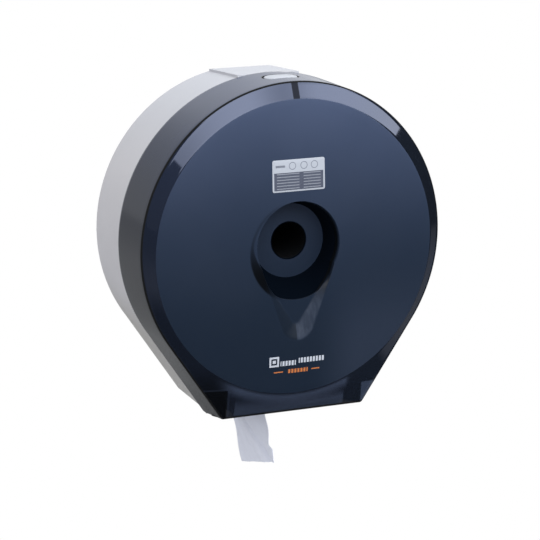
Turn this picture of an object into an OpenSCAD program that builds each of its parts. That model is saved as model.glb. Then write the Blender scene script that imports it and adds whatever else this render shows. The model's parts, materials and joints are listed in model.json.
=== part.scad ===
// Jumbo toilet roll dispenser: a wall housing, a smoked cover hinged at its
// foot, a push-button latch at the top, a hollow spindle and a roll of paper.
//
// Every piece is drawn lying on its back: x runs across the wall, y up it and
// z out from it, with the spindle's axis at x = y = 0. upright() then stands
// it on the wall, so the finished model has +Z up and faces -Y.

/* [Drum] */
// Radius of the round body at the cover's front rim
drum_r = 135; // [130:1:142]
// How much the housing's radius shrinks from the joint back to the wall
drum_taper = 3.2; // [1:0.2:5]
// Distance from the wall to the joint between housing and cover
split_depth = 61.5; // [56:0.5:66]
// Distance from the wall to the cover's front rim
rim_depth = 113.8; // [112:0.2:122]
// Distance from the spindle's axis down to the foot's front edge
foot_drop = 145; // [141:1:152]
// Half the width of the foot at its front corners
foot_half_w = 64.5; // [62:0.5:70]
// Wall thickness of the housing and the cover
wall = 2.5; // [2:0.1:3]
// Gap at the joint between the housing and the cover
joint_gap = 0.4; // [0.3:0.1:1]

/* [Cover face] */
// Radius of the round face inside the bezel
face_r = 124; // [116:1:126]
// How far the round face's centre lies below the spindle's axis
face_drop = 3; // [1:0.5:5]
// How far the bezel comes forward from the rim to the face
bezel_rise = 5.2; // [3:0.2:8]
// How far the middle of the face stands ahead of its edge
face_crown = 6; // [3:0.5:7]
// Radius of the dish's mouth round the hub
dish_r = 42.8; // [40:0.2:45]
// How far the dish's mouth sits below the spindle's axis
dish_drop = 5; // [2:0.5:7]
// Depth of the dish where it meets the well
dish_depth = 4.5; // [3:0.5:6]
// Radius of the well in the middle of the dish
well_r = 32.4; // [30:0.2:34]
// Radius of the sight hole in the well's floor
sight_hole_r = 15.25; // [12:0.25:18]
// Radius of the channel's root, behind the dish
channel_root_r = 33.5; // [30:0.5:36]
// Radius of the channel's rounded tip
channel_tip_r = 15.5; // [12:0.5:18]
// Distance from the spindle's axis down to the channel's tip
channel_drop = 82; // [76:1:88]
// Depth of the channel's floor below the face
channel_depth = 5; // [3:0.5:6]

/* [Back plate] */
// Thickness of the back plate
plate_t = 2.5; // [2:0.1:3.5]
// Height of the ribs behind the back plate
back_rib_h = 1.5; // [1:0.1:2.5]
// Thickness of the ribs behind the back plate
back_rib_t = 2; // [1.5:0.1:3]
// Number of radial ribs behind the back plate
back_ribs = 12; // [8:2:16]
// Spacing of the wall screw holes across the plate
screw_pitch_x = 150; // [120:5:160]
// Spacing of the wall screw holes up the plate
screw_pitch_y = 100; // [80:5:110]
// Radius of the wall screw holes
screw_hole_r = 2.6; // [2:0.1:3]
// Radius of the pads round the wall screw holes
screw_pad_r = 9; // [7:0.5:11]

/* [Spindle and roll] */
// Radius of the spindle at its root
spindle_r = 22; // [20:0.5:24]
// How much the spindle's radius shrinks towards its tip
spindle_taper = 1; // [0.4:0.1:1.6]
// Radius of the spindle's hollow
spindle_bore_r = 17; // [15:0.5:18]
// Radius of the flange at the spindle's root
flange_r = 34; // [32:0.5:38]
// Thickness of the spindle's flange
flange_t = 2.8; // [2.4:0.1:3.6]
// Gap between a full paper roll and the drum's rim
roll_gap = 30; // [27:1:45]
// Width of the paper roll
roll_w = 89; // [85:0.5:90]
// Inner radius of the roll's cardboard core
core_r = 30; // [28:0.5:34]
// Thickness of the cardboard core
core_t = 1.5; // [1:0.1:2.5]

/* [Hinge] */
// How far the hinge axis lies ahead of the joint
hinge_ahead = 3.5; // [3:0.1:5]
// How far the hinge axis lies below the housing's foot
hinge_below = 2; // [1.5:0.1:3]
// Radius of the hinge knuckles
knuckle_r = 4.6; // [4.2:0.1:5.2]
// Radius of the hinge pins
pin_r = 2; // [1.5:0.1:2.2]
// Width of the housing's hinge lugs
lug_w = 6.6; // [5:0.1:8]

/* [Latch] */
// Length of the oval button across the dispenser
button_l = 29; // [25:0.5:32]
// Width of the oval button from front to back
button_w = 16; // [13:0.5:17]
// Distance from the joint to the button's centre
button_ahead = 24.5; // [23:0.5:27]
// How far the button stands proud of the cover
button_proud = 0.6; // [0.2:0.1:1.5]
// Travel of the button when it is pressed
button_travel = 5.2; // [5:0.1:5.6]
// Gap round the button in the cover's hole
button_gap = 0.6; // [0.4:0.1:1]
// Half the width of the latch housing on top of the drum
tongue_half_w = 28; // [25:0.5:31]
// Radius of the latch spring's wire
wire_r = 0.45; // [0.3:0.05:0.55]
// Number of turns in the latch spring
spring_turns = 5; // [3:0.5:6]

/* [Tear-off] */
// Half the distance between the two rows of teeth
teeth_half_gap = 20.5; // [18:0.5:24]
// Distance from one tooth to the next
tooth_pitch = 3; // [2.5:0.1:4]
// Depth of the teeth
tooth_depth = 2.2; // [1.5:0.1:3]
// Width of a tear strip behind its teeth
strip_w = 14; // [12:0.5:16]
// Thickness of the tear strips
strip_t = 0.8; // [0.6:0.1:1.2]
// Length of paper that hangs below the teeth at the back edge
tail_hang = 74; // [60:1:90]
// How much shorter the paper hangs at its front edge
tail_slant = 27; // [0:1:30]

/* [Hidden] */
$fn = 96;

// Overlap that makes a cut break cleanly through a face
cut = 1;
// Running clearance between a screw or pin and its hole
fit = 0.05;
// Smallest gap left between pieces that pass each other
pass_gap = 0.5;
// Gap between a soft or hanging piece and what carries it
rest_gap = 0.3;

// Foot: its sides are tangent to the drum and run down to its corners
foot_reach = norm([foot_half_w, foot_drop]);
foot_lean = atan2(foot_drop, foot_half_w) - acos(drum_r / foot_reach);
foot_draft = 1.6;
housing_drop = foot_drop + 2;
tuck = 0.1;

// Cover: slightly larger at the joint than at the rim, so it leaves its mould
cover_flare = 0.4;
cover_back = split_depth + joint_gap;
face_depth = rim_depth + bezel_rise;
arc_steps = 80;
crown_steps = 4;
skin = 0.02;

// Hinge axis, in depth and in drop below the spindle's axis
hinge_depth = split_depth + hinge_ahead;
hinge_drop = housing_drop + hinge_below;
skirt_drop = hinge_drop + knuckle_r;
side_gap = 0.4;
knuckle_in = corner_x(drum_r, skirt_drop) - 4.2;
lug_out = knuckle_in - side_gap;
lug_in = lug_out - lug_w;

// Stack of plate, flange, roll and well, from the wall outwards
plate_front = back_rib_h + plate_t;
roll_r = drum_r - roll_gap;
roll_back = plate_front + flange_t + 1.4;
roll_front = roll_back + roll_w;
spindle_tip = roll_front + 2.3;
well_floor_depth = spindle_tip + 1.5 + wall;
well_draft = 0.6;
roll_hang = core_r - spindle_r - rest_gap;

// Screws that hold the spindle, the tear strips and the latch's retainer
small_screw_r = 1.2;
small_head_r = 2.6;
small_head_h = 1.6;
pilot_r = small_screw_r + fit;
spindle_screw_ring = (spindle_r + flange_r) / 2 - 0.5;

// Latch: its arm reaches forward under the top of the cover
tongue_back_h = drum_r - drum_taper - 1.2;
tongue_front_h = drum_r - 0.8;
button_depth = split_depth + button_ahead;
button_edge = 1.3;
flange_l = button_l + 2 * button_edge;
flange_w = button_w + 2 * button_edge;
flange_h = 2;
arm_t = 2.2;
arm_half_w = flange_l / 2 + pass_gap + arm_t;
arm_tip = button_depth + flange_w / 2 + pass_gap + arm_t;
arm_top = side_height(drum_r - wall, arm_half_w) - swing_dip(arm_tip) - pass_gap;
flange_top = arm_top - arm_t - 0.1;
spring_r = 3.6;
peg_r = spring_r - wire_r - 0.3;
peg_h = 3;
spring_h = button_travel + 2 * peg_h + 1.1;
retainer_top = flange_top - flange_h - spring_h;
retainer_t = 2.2;
arm_root = split_depth - 22;
retainer_back = button_depth - flange_w / 2 - 2 * arm_t - 6;
latch_screw_x = arm_half_w - arm_t - 3.4;
latch_screw_depth = retainer_back + 4.2;

// Chute that leads the paper out between the tear strips
chute_floor = foot_drop + 1.6;
chute_t = 3;
throat_half_w = teeth_half_gap + 3.5;
chute_half_w = lug_in + 0.2;
chute_tip = roll_front + 7;
throat_back = plate_front + 2.5;
throat_tip = chute_tip - wall;
cheek_h = 24;
strip_back = roll_back + 1;
strip_len = roll_w + 1.5;
strip_screw_x = teeth_half_gap + tooth_depth + strip_w / 2 + 1;
strip_screw_inset = 13;

// Housing's radius and drop at a given distance from the wall
function housing_r(z) = drum_r - drum_taper * (1 - z / split_depth);
function housing_foot(z) = housing_drop + foot_draft * (1 - z / split_depth);

// Half width of a foot of radius r at a given drop below the axis
function corner_x(r, drop) = (r - drop * sin(foot_lean)) / cos(foot_lean);

// Height of a circle of radius r at a distance x from its centre line
function side_height(r, x) = sqrt(r * r - x * x);

// How far the top of the cover dips over a point at depth z as it swings open
function swing_dip(z) = pow(z - hinge_depth, 2) / (2 * (drum_r + hinge_drop));

// Depth of the crowned face at a distance r from its centre
function crown_depth(r) = face_depth + face_crown * (1 - pow(r / face_r, 2));

// Height of the latch housing's flat top at depth z
function tongue_h(z) = tongue_back_h + (tongue_front_h - tongue_back_h) * z / split_depth;

// Outline of the drum with its foot: an arc, then straight sides and a flat
function foot_outline(r, drop) = concat(
    [for (i = [0 : arc_steps])
        let (a = -foot_lean + i * (180 + 2 * foot_lean) / arc_steps)
        r * [cos(a), sin(a)]],
    [[-corner_x(r, drop), -drop], [corner_x(r, drop), -drop]]
);

// A band of thickness t along a list of points, as one closed outline
function unit(v) = v / norm(v);
function heading(path, i) = unit(
    path[min(i + 1, len(path) - 1)] - path[max(i - 1, 0)]
);
function beside(path, i, d) = path[i] + d * [-heading(path, i)[1], heading(path, i)[0]];
function band(path, t) = concat(
    [for (i = [0 : len(path) - 1]) beside(path, i, t / 2)],
    [for (i = [len(path) - 1 : -1 : 0]) beside(path, i, -t / 2)]
);

// Stands a piece drawn on its back up against the wall
module upright() {
    rotate([90, 0, 0]) children();
}

// Extrudes a side view, drawn as [depth, height], across the dispenser
module across(width) {
    rotate([0, -90, 0]) linear_extrude(width, center = true) children();
}

// Draws its children on the right and mirrored on the left
module both_sides() {
    children();
    mirror([1, 0, 0]) children();
}

// A rod of radius r that runs across the dispenser from x0 to x1
module cross_rod(x0, x1, drop, depth, r) {
    translate([x0, -drop, depth]) rotate([0, 90, 0]) cylinder(h = x1 - x0, r = r);
}

// A rod of radius r that runs up the dispenser from height y0 to y1
module upright_rod(x, depth, y0, y1, r) {
    translate([x, y0, depth]) rotate([-90, 0, 0]) cylinder(h = y1 - y0, r = r);
}

// An oval prism, l by w, that runs up the dispenser at the button's place
module button_prism(l, w, y0, y1) {
    both_sides() upright_rod((l - w) / 2, button_depth, y0, y1, w / 2);
    translate([-(l - w) / 2, y0, button_depth - w / 2]) cube([l - w, y1 - y0, w]);
}

// The part of the foot below the drum's round, between two depths
module foot_wedge(z0, z1, r0, r1, drop0, drop1) {
    ends = [[z0, r0 - tuck, drop0], [z1, r1 - tuck, drop1]];
    points = [for (e = ends) each [
        [-e[1] * cos(foot_lean), -e[1] * sin(foot_lean), e[0]],
        [-corner_x(e[1], e[2]), -e[2], e[0]],
        [corner_x(e[1], e[2]), -e[2], e[0]],
        [e[1] * cos(foot_lean), -e[1] * sin(foot_lean), e[0]]
    ]];
    sides = [for (i = [0 : 3]) [(i + 1) % 4, i, i + 4, (i + 1) % 4 + 4]];
    polyhedron(points, concat([[0, 1, 2, 3], [7, 6, 5, 4]], sides));
}

// A drafted drum with its foot, between two depths, set in by a wall
module housing_form(z0, z1, inset) {
    r0 = housing_r(z0) - inset;
    r1 = housing_r(z1) - inset;
    translate([0, 0, z0]) cylinder(h = z1 - z0, r1 = r0, r2 = r1, $fn = 180);
    foot_wedge(z0, z1, r0, r1, housing_foot(z0) - inset, housing_foot(z1) - inset);
}

// Everything above the latch housing's flat top, lowered by a wall
module above_tongue(half_w, lower) {
    across(2 * half_w)
        polygon([
            [-cut, tongue_h(-cut) - lower],
            [split_depth + cut, tongue_h(split_depth + cut) - lower],
            [split_depth + cut, drum_r + 20],
            [-cut, drum_r + 20]
        ]);
}

// Outer body of the housing: the drum with the latch housing on its top
module housing_outside() {
    difference() {
        housing_form(0, split_depth, 0);
        above_tongue(tongue_half_w, 0);
    }
    across(2 * tongue_half_w)
        polygon([
            [0, tongue_back_h - 12],
            [0, tongue_back_h],
            [split_depth, tongue_front_h],
            [split_depth, tongue_front_h - 12]
        ]);
}

// Hollow of the housing in front of the back plate
module housing_inside() {
    difference() {
        housing_form(plate_front, split_depth + cut, wall);
        above_tongue(tongue_half_w + wall, wall);
    }
}

// Shallow ribs behind the back plate, with the rim that meets the wall
module back_recess() {
    difference() {
        housing_form(-cut, back_rib_h, wall + 0.5);
        for (r = [flange_r + 4, roll_r * 0.68, roll_r - 1])
            difference() {
                translate([0, 0, -2 * cut]) cylinder(h = 10, r = r + back_rib_t / 2);
                translate([0, 0, -3 * cut]) cylinder(h = 12, r = r - back_rib_t / 2);
            }
        for (i = [0 : back_ribs - 1])
            rotate([0, 0, (i + 0.5) * 360 / back_ribs])
                translate([flange_r + 4, -back_rib_t / 2, -2 * cut])
                cube([drum_r, back_rib_t, 10]);
        wall_screws(screw_pad_r, -2 * cut, 10);
        spindle_screw_places() translate([0, 0, -2 * cut]) cylinder(h = 10, r = 5);
    }
}

// Rods at the four wall screws, from depth z0 to z1
module wall_screws(r, z0, z1) {
    for (x = [-1, 1], y = [-1, 1])
        translate([x * screw_pitch_x / 2, y * screw_pitch_y / 2, z0])
        cylinder(h = z1 - z0, r = r);
}

// Places its children at the three screws that hold the spindle
module spindle_screw_places() {
    for (i = [0 : 2])
        rotate([0, 0, 90 + i * 120]) translate([spindle_screw_ring, 0, 0]) children();
}

// Lip that the cover's edge closes over, round the top of the drum
module overlap_lip() {
    lip_t = 1.8;
    lip_len = 6;
    lip_r = drum_r + cover_flare - wall - pass_gap - 0.1;
    lip_drop = drum_r * 0.37;
    difference() {
        union() {
            translate([0, 0, split_depth - lip_len])
                cylinder(h = lip_len, r = lip_r + 1, $fn = 180);
            translate([0, 0, split_depth - cut])
                cylinder(h = lip_len + cut, r1 = lip_r, r2 = lip_r - 0.2, $fn = 180);
        }
        translate([0, 0, split_depth - lip_len - cut])
            cylinder(h = 2 * lip_len + 2 * cut, r = lip_r - lip_t, $fn = 180);
        translate([-drum_r, -2 * drum_r - lip_drop, 0])
            cube([2 * drum_r, 2 * drum_r, rim_depth]);
    }
}

// Arm under the top of the cover that guides the latch button
module latch_arm() {
    web_top = tongue_h(arm_root) - wall / 2;
    front_top = tongue_h(split_depth) - wall / 2;
    both_sides()
        translate([arm_half_w - arm_t / 2, 0, 0])
        across(arm_t)
        polygon([
            [arm_root, web_top],
            [arm_root, web_top - 4],
            [retainer_back, retainer_top],
            [arm_tip, retainer_top],
            [arm_tip, arm_top],
            [split_depth, arm_top],
            [split_depth - skin, front_top]
        ]);
    difference() {
        translate([-arm_half_w, arm_top - arm_t, split_depth - 6])
            cube([2 * arm_half_w, arm_t, arm_tip - split_depth + 6]);
        button_prism(button_l + 2 * rest_gap, button_w + 2 * rest_gap, 0, drum_r);
    }
    translate([-arm_half_w, retainer_top, arm_tip - arm_t])
        cube([2 * arm_half_w, arm_top - retainer_top, arm_t]);
    both_sides()
        upright_rod(latch_screw_x, latch_screw_depth, retainer_top, arm_top - arm_t / 2, 3);
}

// Chute under the roll: a slotted floor, two cheeks and a front apron
module chute() {
    difference() {
        translate([-chute_half_w, -chute_floor, plate_front - cut])
            cube([2 * chute_half_w, chute_t, chute_tip - plate_front + cut]);
        translate([-throat_half_w, -chute_floor - cut, throat_back])
            cube([2 * throat_half_w, chute_t + 2 * cut, throat_tip - throat_back]);
    }
    both_sides()
        translate([chute_half_w - wall / 2, 0, 0])
        across(wall)
        polygon([
            [split_depth - 30, -chute_floor],
            [split_depth - 8, -chute_floor + cheek_h],
            [chute_tip, -chute_floor + cheek_h - 5],
            [chute_tip, -chute_floor]
        ]);
    translate([-chute_half_w, -chute_floor, chute_tip - wall])
        cube([2 * chute_half_w, cheek_h - 5, wall]);
}

// Lugs at the foot that carry the hinge pins
module hinge_lugs() {
    both_sides() {
        cross_rod(lug_in, lug_out, hinge_drop, hinge_depth, knuckle_r);
        translate([(lug_in + lug_out) / 2, 0, 0])
            across(lug_w)
            polygon([
                [split_depth - 16, -housing_drop + wall],
                [split_depth - 16, -housing_drop],
                [hinge_depth, -hinge_drop - knuckle_r],
                [hinge_depth + knuckle_r * 0.7, -hinge_drop + knuckle_r * 0.7],
                [hinge_depth, -housing_drop + wall]
            ]);
    }
}

// Openings cut through the housing
module housing_holes() {
    wall_screws(screw_hole_r, -cut, 20);
    spindle_screw_places()
        translate([0, 0, 0.8]) cylinder(h = plate_front, r = pilot_r);
    // The throat, with the tear strips' seat round it
    translate([-throat_half_w, -housing_drop - 20, throat_back])
        cube([2 * throat_half_w, 20 + housing_drop - chute_floor + chute_t + cut,
            split_depth]);
    translate([-strip_edge() - 1, -housing_drop - 20, strip_back - 1])
        cube([2 * (strip_edge() + 1), 20 + housing_drop - chute_floor, rim_depth]);
    // Relief round the cover's hinge knuckles, and the pins' holes
    both_sides() {
        cross_rod(lug_out, drum_r, hinge_drop, hinge_depth, knuckle_r + pass_gap);
        cross_rod(lug_in - cut, lug_out + cut, hinge_drop, hinge_depth, pin_r + fit);
    }
    strip_screw_places() upright_rod(0, 0, -chute_floor - cut, -chute_floor + 2.4, pilot_r);
    both_sides()
        upright_rod(latch_screw_x, latch_screw_depth, retainer_top - cut,
            retainer_top + 8, pilot_r);
}

// Outer edge of a tear strip, from the centre line
function strip_edge() = teeth_half_gap + tooth_depth + strip_w;

// Places its children at the screws of both tear strips
module strip_screw_places() {
    for (x = [-1, 1], d = [strip_screw_inset, strip_len - strip_screw_inset])
        translate([x * strip_screw_x, 0, strip_back + d]) children();
}

module rear_housing() {
    color("#b9bac1") upright()
        difference() {
            union() {
                difference() {
                    housing_outside();
                    housing_inside();
                    back_recess();
                }
                wall_screws(screw_hole_r + 4, plate_front - cut, plate_front + 1.5);
                difference() {
                    cylinder(h = plate_front + 2, r = flange_r + 2.4);
                    translate([0, 0, plate_front])
                        cylinder(h = 10, r = flange_r + 0.4);
                    translate([0, 0, -cut]) cylinder(h = back_rib_h + cut, r = flange_r + 3);
                }
                overlap_lip();
                latch_arm();
                chute();
                hinge_lugs();
            }
            housing_holes();
        }
}

// A thin slab of a given outline, for hulls
module slab(depth, points) {
    translate([0, 0, depth]) linear_extrude(skin) polygon(points);
}

// Body of the cover, set in by a wall: joint edge, rim, bezel and crowned face
module cover_form(inset) {
    back = inset > 0 ? cover_back - cut : cover_back;
    hull() {
        slab(back, foot_outline(drum_r + cover_flare - inset, skirt_drop - inset));
        slab(rim_depth - inset - skin, foot_outline(drum_r - inset, foot_drop - inset));
        for (i = [0 : crown_steps]) {
            r = face_r * cos(i * 85 / crown_steps);
            translate([0, -face_drop, crown_depth(r) - inset - skin])
                cylinder(h = skin, r = r - inset * i / (crown_steps + i));
        }
    }
}

// Opening under the cover, between its side walls, that the foot fills
module cover_mouth() {
    top = foot_drop - 10;
    bottom = skirt_drop + 5;
    r = drum_r - wall;
    translate([0, 0, cover_back - cut])
        linear_extrude(rim_depth - wall - cover_back + cut - 0.5)
        polygon([
            [-corner_x(r, top), -top],
            [-corner_x(r, bottom), -bottom],
            [corner_x(r, bottom), -bottom],
            [corner_x(r, top), -top]
        ]);
}

// Hub of the face, grown by a wall for its back: a shallow dish round a well
module hub_recess(grow) {
    edge_depth = crown_depth(dish_r);
    dish_floor = edge_depth - dish_depth;
    hull() {
        translate([0, 0, dish_floor - grow]) cylinder(h = skin, r = well_r + grow);
        translate([0, -dish_drop, edge_depth - grow]) cylinder(h = skin, r = dish_r + grow);
    }
    translate([0, -dish_drop, edge_depth - grow])
        cylinder(h = crown_depth(0) - edge_depth + cut, r = dish_r + grow);
    translate([0, 0, well_floor_depth - grow])
        cylinder(h = dish_floor - well_floor_depth + skin, r1 = well_r - well_draft + grow,
            r2 = well_r + grow);
}

// Channel that runs down from the hub to a rounded tip, grown by a wall
module channel(grow) {
    brim_depth = crown_depth((dish_drop + channel_drop) / 2);
    floor_depth = brim_depth - channel_depth;
    root_drop = channel_root_r / 3;
    floor_inset = 2.7;
    floor_tip_r = 3;
    floor_tip_drop = channel_drop - channel_tip_r - 1;
    // The face falls away below the hub, so the brim runs on past the tip
    brim_tip_drop = channel_drop + channel_depth - channel_tip_r;
    // Each round is a depth, a drop and a radius
    rounds = [
        [brim_depth, root_drop, channel_root_r],
        [brim_depth, brim_tip_drop, channel_tip_r],
        [floor_depth, root_drop + floor_inset, channel_root_r - floor_inset],
        [floor_depth, floor_tip_drop, floor_tip_r]
    ];
    hull()
        for (c = rounds)
            translate([0, -c[1], c[0] - grow])
            cylinder(h = skin, r = c[2] + grow, $fn = 64);
}

// U-shaped pocket in each bottom corner of the cover, with a rounded top
module corner_pockets() {
    x = foot_half_w - 2.5;
    top = foot_drop - 20;
    round_r = 5;
    pocket_back = rim_depth - 26;
    both_sides()
        translate([0, 0, pocket_back]) {
            translate([x - wall / 2, -skirt_drop, 0])
                cube([wall, skirt_drop - top - round_r, rim_depth]);
            translate([x + round_r, -top - wall / 2, 0])
                cube([foot_half_w, wall, rim_depth]);
            intersection() {
                translate([x + round_r, -top - round_r, 0])
                    difference() {
                        cylinder(h = rim_depth, r = round_r + wall / 2, $fn = 48);
                        translate([0, 0, -cut])
                            cylinder(h = rim_depth + 2 * cut, r = round_r - wall / 2,
                                $fn = 48);
                    }
                translate([x - wall, -top - round_r, 0])
                    cube([round_r + wall, round_r + wall, rim_depth]);
            }
        }
}

// Hinge knuckles of the cover, each trimmed to the slope of its side wall
module cover_knuckles() {
    both_sides() {
        intersection() {
            cross_rod(knuckle_in, drum_r, hinge_drop, hinge_depth, knuckle_r);
            translate([0, 0, hinge_depth - 10])
                linear_extrude(20)
                polygon([
                    [0, -hinge_drop - 10],
                    [corner_x(drum_r, hinge_drop + 10), -hinge_drop - 10],
                    [corner_x(drum_r, hinge_drop - 10), -hinge_drop + 10],
                    [0, -hinge_drop + 10]
                ]);
        }
        translate([knuckle_in + wall / 2, 0, 0])
            across(wall)
            polygon([
                [hinge_depth, -hinge_drop - knuckle_r + skin],
                [hinge_depth, -hinge_drop + knuckle_r],
                [hinge_depth + 18, -hinge_drop + 13],
                [hinge_depth + 18, -hinge_drop + 1]
            ]);
    }
}

// Rounds the cover's lower back corners to the hinge knuckles
module corner_rounding() {
    both_sides()
        translate([drum_r / 2, 0, 0])
        across(drum_r)
        difference() {
            polygon([
                [split_depth - 5, -hinge_drop],
                [split_depth - 5, -skirt_drop - 5],
                [hinge_depth, -skirt_drop - 5],
                [hinge_depth, -hinge_drop]
            ]);
            translate([hinge_depth, -hinge_drop]) circle(r = knuckle_r);
        }
}

module front_cover() {
    rib_w = 6;
    color("#2f3a4b") upright()
        difference() {
            union() {
                difference() {
                    cover_form(0);
                    difference() {
                        union() {
                            cover_form(wall);
                            cover_mouth();
                        }
                        hub_recess(wall);
                        channel(wall);
                        corner_pockets();
                        // Rib behind the bezel, above the face
                        translate([-rib_w / 2, face_r - face_drop, arm_tip + 4])
                            cube([rib_w, 20, rim_depth]);
                    }
                    corner_rounding();
                }
                cover_knuckles();
            }
            hub_recess(0);
            channel(0);
            cylinder(h = 2 * rim_depth, r = sight_hole_r);
            button_prism(button_l + 2 * button_gap, button_w + 2 * button_gap, 0, 2 * drum_r);
            both_sides()
                cross_rod(knuckle_in - cut, knuckle_in + 4, hinge_drop, hinge_depth,
                    pin_r + 3 * fit);
        }
}

module roll_spindle() {
    color("#23262b") upright()
        difference() {
            union() {
                translate([0, 0, plate_front]) cylinder(h = flange_t, r = flange_r);
                translate([0, 0, plate_front])
                    cylinder(h = spindle_tip - plate_front - 1.5, r1 = spindle_r,
                        r2 = spindle_r - spindle_taper);
                translate([0, 0, spindle_tip - 1.5])
                    cylinder(h = 1.5, r1 = spindle_r - spindle_taper,
                        r2 = spindle_r - spindle_taper - 1.5);
            }
            translate([0, 0, plate_front + flange_t])
                cylinder(h = spindle_tip, r1 = spindle_bore_r - 0.8, r2 = spindle_bore_r);
            spindle_screw_places() {
                translate([0, 0, -cut]) cylinder(h = 20, r = small_screw_r + 4 * fit);
                translate([0, 0, plate_front + flange_t - 1.6])
                    cylinder(h = 1.6 + skin, r1 = small_screw_r, r2 = small_head_r + 0.1);
            }
        }
}

module spindle_screws() {
    color("#c9ccd0") upright()
        spindle_screw_places()
        difference() {
            union() {
                translate([0, 0, 1]) cylinder(h = plate_front + flange_t - 1.1, r = small_screw_r);
                translate([0, 0, plate_front + flange_t - 1.5])
                    cylinder(h = 1.4, r1 = small_screw_r, r2 = small_head_r - 0.1);
            }
            cross_slot(plate_front + flange_t - 0.9);
        }
}

// Cross-shaped driver slot in a screw head, from depth z outwards
module cross_slot(z) {
    translate([-1.5, -0.3, z]) cube([3, 0.6, 3]);
    translate([-0.3, -1.5, z]) cube([0.6, 3, 3]);
}

// A pan-head screw that points up from a given height
module upward_screw(y, length) {
    translate([0, y, 0]) rotate([-90, 0, 0])
        difference() {
            union() {
                cylinder(h = length, r = small_screw_r);
                translate([0, 0, -small_head_h])
                    cylinder(h = small_head_h, r1 = small_head_r - 0.5, r2 = small_head_r);
            }
            mirror([0, 0, 1]) cross_slot(small_head_h - 0.8);
        }
}

module hinge_pin() {
    chamfer = 0.5;
    x0 = lug_in + 0.2;
    x1 = knuckle_in + 3.6;
    color("#c9ccd0") upright() {
        cross_rod(x0 + chamfer, x1 - chamfer, hinge_drop, hinge_depth, pin_r);
        translate([x0, -hinge_drop, hinge_depth]) rotate([0, 90, 0])
            cylinder(h = chamfer, r1 = pin_r - chamfer, r2 = pin_r);
        translate([x1 - chamfer, -hinge_drop, hinge_depth]) rotate([0, 90, 0])
            cylinder(h = chamfer, r1 = pin_r, r2 = pin_r - chamfer);
    }
}

module hinge_pin_right() {
    hinge_pin();
}

module hinge_pin_left() {
    mirror([1, 0, 0]) hinge_pin();
}

module latch_button() {
    flange_base = flange_top - flange_h;
    color("#d8dce2") upright() {
        difference() {
            intersection() {
                button_prism(button_l, button_w, flange_top - skin, drum_r + 5);
                cylinder(h = rim_depth, r = drum_r + button_proud, $fn = 180);
            }
            button_prism(button_l - 2 * wall, button_w - 2 * wall, 0, drum_r - wall);
        }
        button_prism(flange_l, flange_w, flange_base, flange_top);
        upright_rod(0, button_depth, flange_base - peg_h, flange_base + skin, peg_r);
    }
}

// Coil of the latch spring, swept as one closed tube
module latch_spring() {
    sides = 6;
    steps_per_turn = 14;
    base = retainer_top + wire_r + 0.1;
    rise = spring_h - 2 * wire_r - 0.2;
    rings = floor(spring_turns * steps_per_turn);
    points = [for (i = [0 : rings], k = [0 : sides - 1])
        let (
            turn = 360 * i / steps_per_turn,
            around = 360 * k / sides,
            r = spring_r + wire_r * cos(around)
        )
        [r * cos(turn), base + rise * i / rings + wire_r * sin(around), r * sin(turn)]];
    walls = [for (i = [0 : rings - 1], k = [0 : sides - 1])
        let (a = i * sides, b = a + sides, n = (k + 1) % sides)
        [a + k, a + n, b + n, b + k]];
    first = [for (k = [sides - 1 : -1 : 0]) k];
    last = [for (k = [0 : sides - 1]) rings * sides + k];
    color("#c9ccd0") upright()
        translate([0, 0, button_depth])
        polyhedron(points, concat(walls, [first, last]));
}

module latch_retainer() {
    color("#b9bac1") upright()
        difference() {
            union() {
                translate([-arm_half_w, retainer_top - retainer_t, retainer_back])
                    cube([2 * arm_half_w, retainer_t, arm_tip - retainer_back]);
                upright_rod(0, button_depth, retainer_top - skin, retainer_top + peg_h, peg_r);
            }
            both_sides()
                upright_rod(latch_screw_x, latch_screw_depth, retainer_top - 5,
                    retainer_top + 1, small_screw_r + 4 * fit);
        }
}

module latch_screws() {
    color("#c9ccd0") upright()
        both_sides()
        translate([latch_screw_x, 0, latch_screw_depth])
        upward_screw(retainer_top - retainer_t, retainer_t + 7);
}

// One tear strip: a thin plate with a row of teeth towards the throat
module tear_strip() {
    teeth = floor(strip_len / tooth_pitch);
    root = teeth_half_gap + tooth_depth;
    saw = [for (i = [0 : teeth - 1]) each [
        [root, i * tooth_pitch],
        [teeth_half_gap, (i + 0.5) * tooth_pitch]
    ]];
    color("#c3c7cc") upright()
        difference() {
            translate([0, -chute_floor, strip_back])
                rotate([90, 0, 0])
                linear_extrude(strip_t)
                polygon(concat(saw, [
                    [root, teeth * tooth_pitch],
                    [root, strip_len],
                    [strip_edge(), strip_len],
                    [strip_edge(), 0]
                ]));
            strip_screw_places()
                upright_rod(0, 0, -chute_floor - 3, -chute_floor + 1, small_screw_r + 4 * fit);
        }
}

module tear_strip_right() {
    tear_strip();
}

module tear_strip_left() {
    mirror([1, 0, 0]) tear_strip();
}

module tear_strip_screws() {
    color("#c9ccd0") upright()
        strip_screw_places() upward_screw(-chute_floor - strip_t, strip_t + 2.2);
}

// Places its children on the roll's axis, which hangs below the spindle's
module on_roll_axis() {
    translate([0, -roll_hang, roll_back]) children();
}

module core_tube() {
    color("#b08a5a") upright()
        on_roll_axis()
        difference() {
            cylinder(h = roll_w, r = core_r + core_t);
            translate([0, 0, -cut]) cylinder(h = roll_w + 2 * cut, r = core_r);
        }
}

module paper_roll() {
    color("#f1f1ee") upright()
        on_roll_axis()
        difference() {
            cylinder(h = roll_w, r = roll_r, $fn = 180);
            translate([0, 0, -cut])
                cylinder(h = roll_w + 2 * cut, r = core_r + core_t + fit);
        }
}

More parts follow.
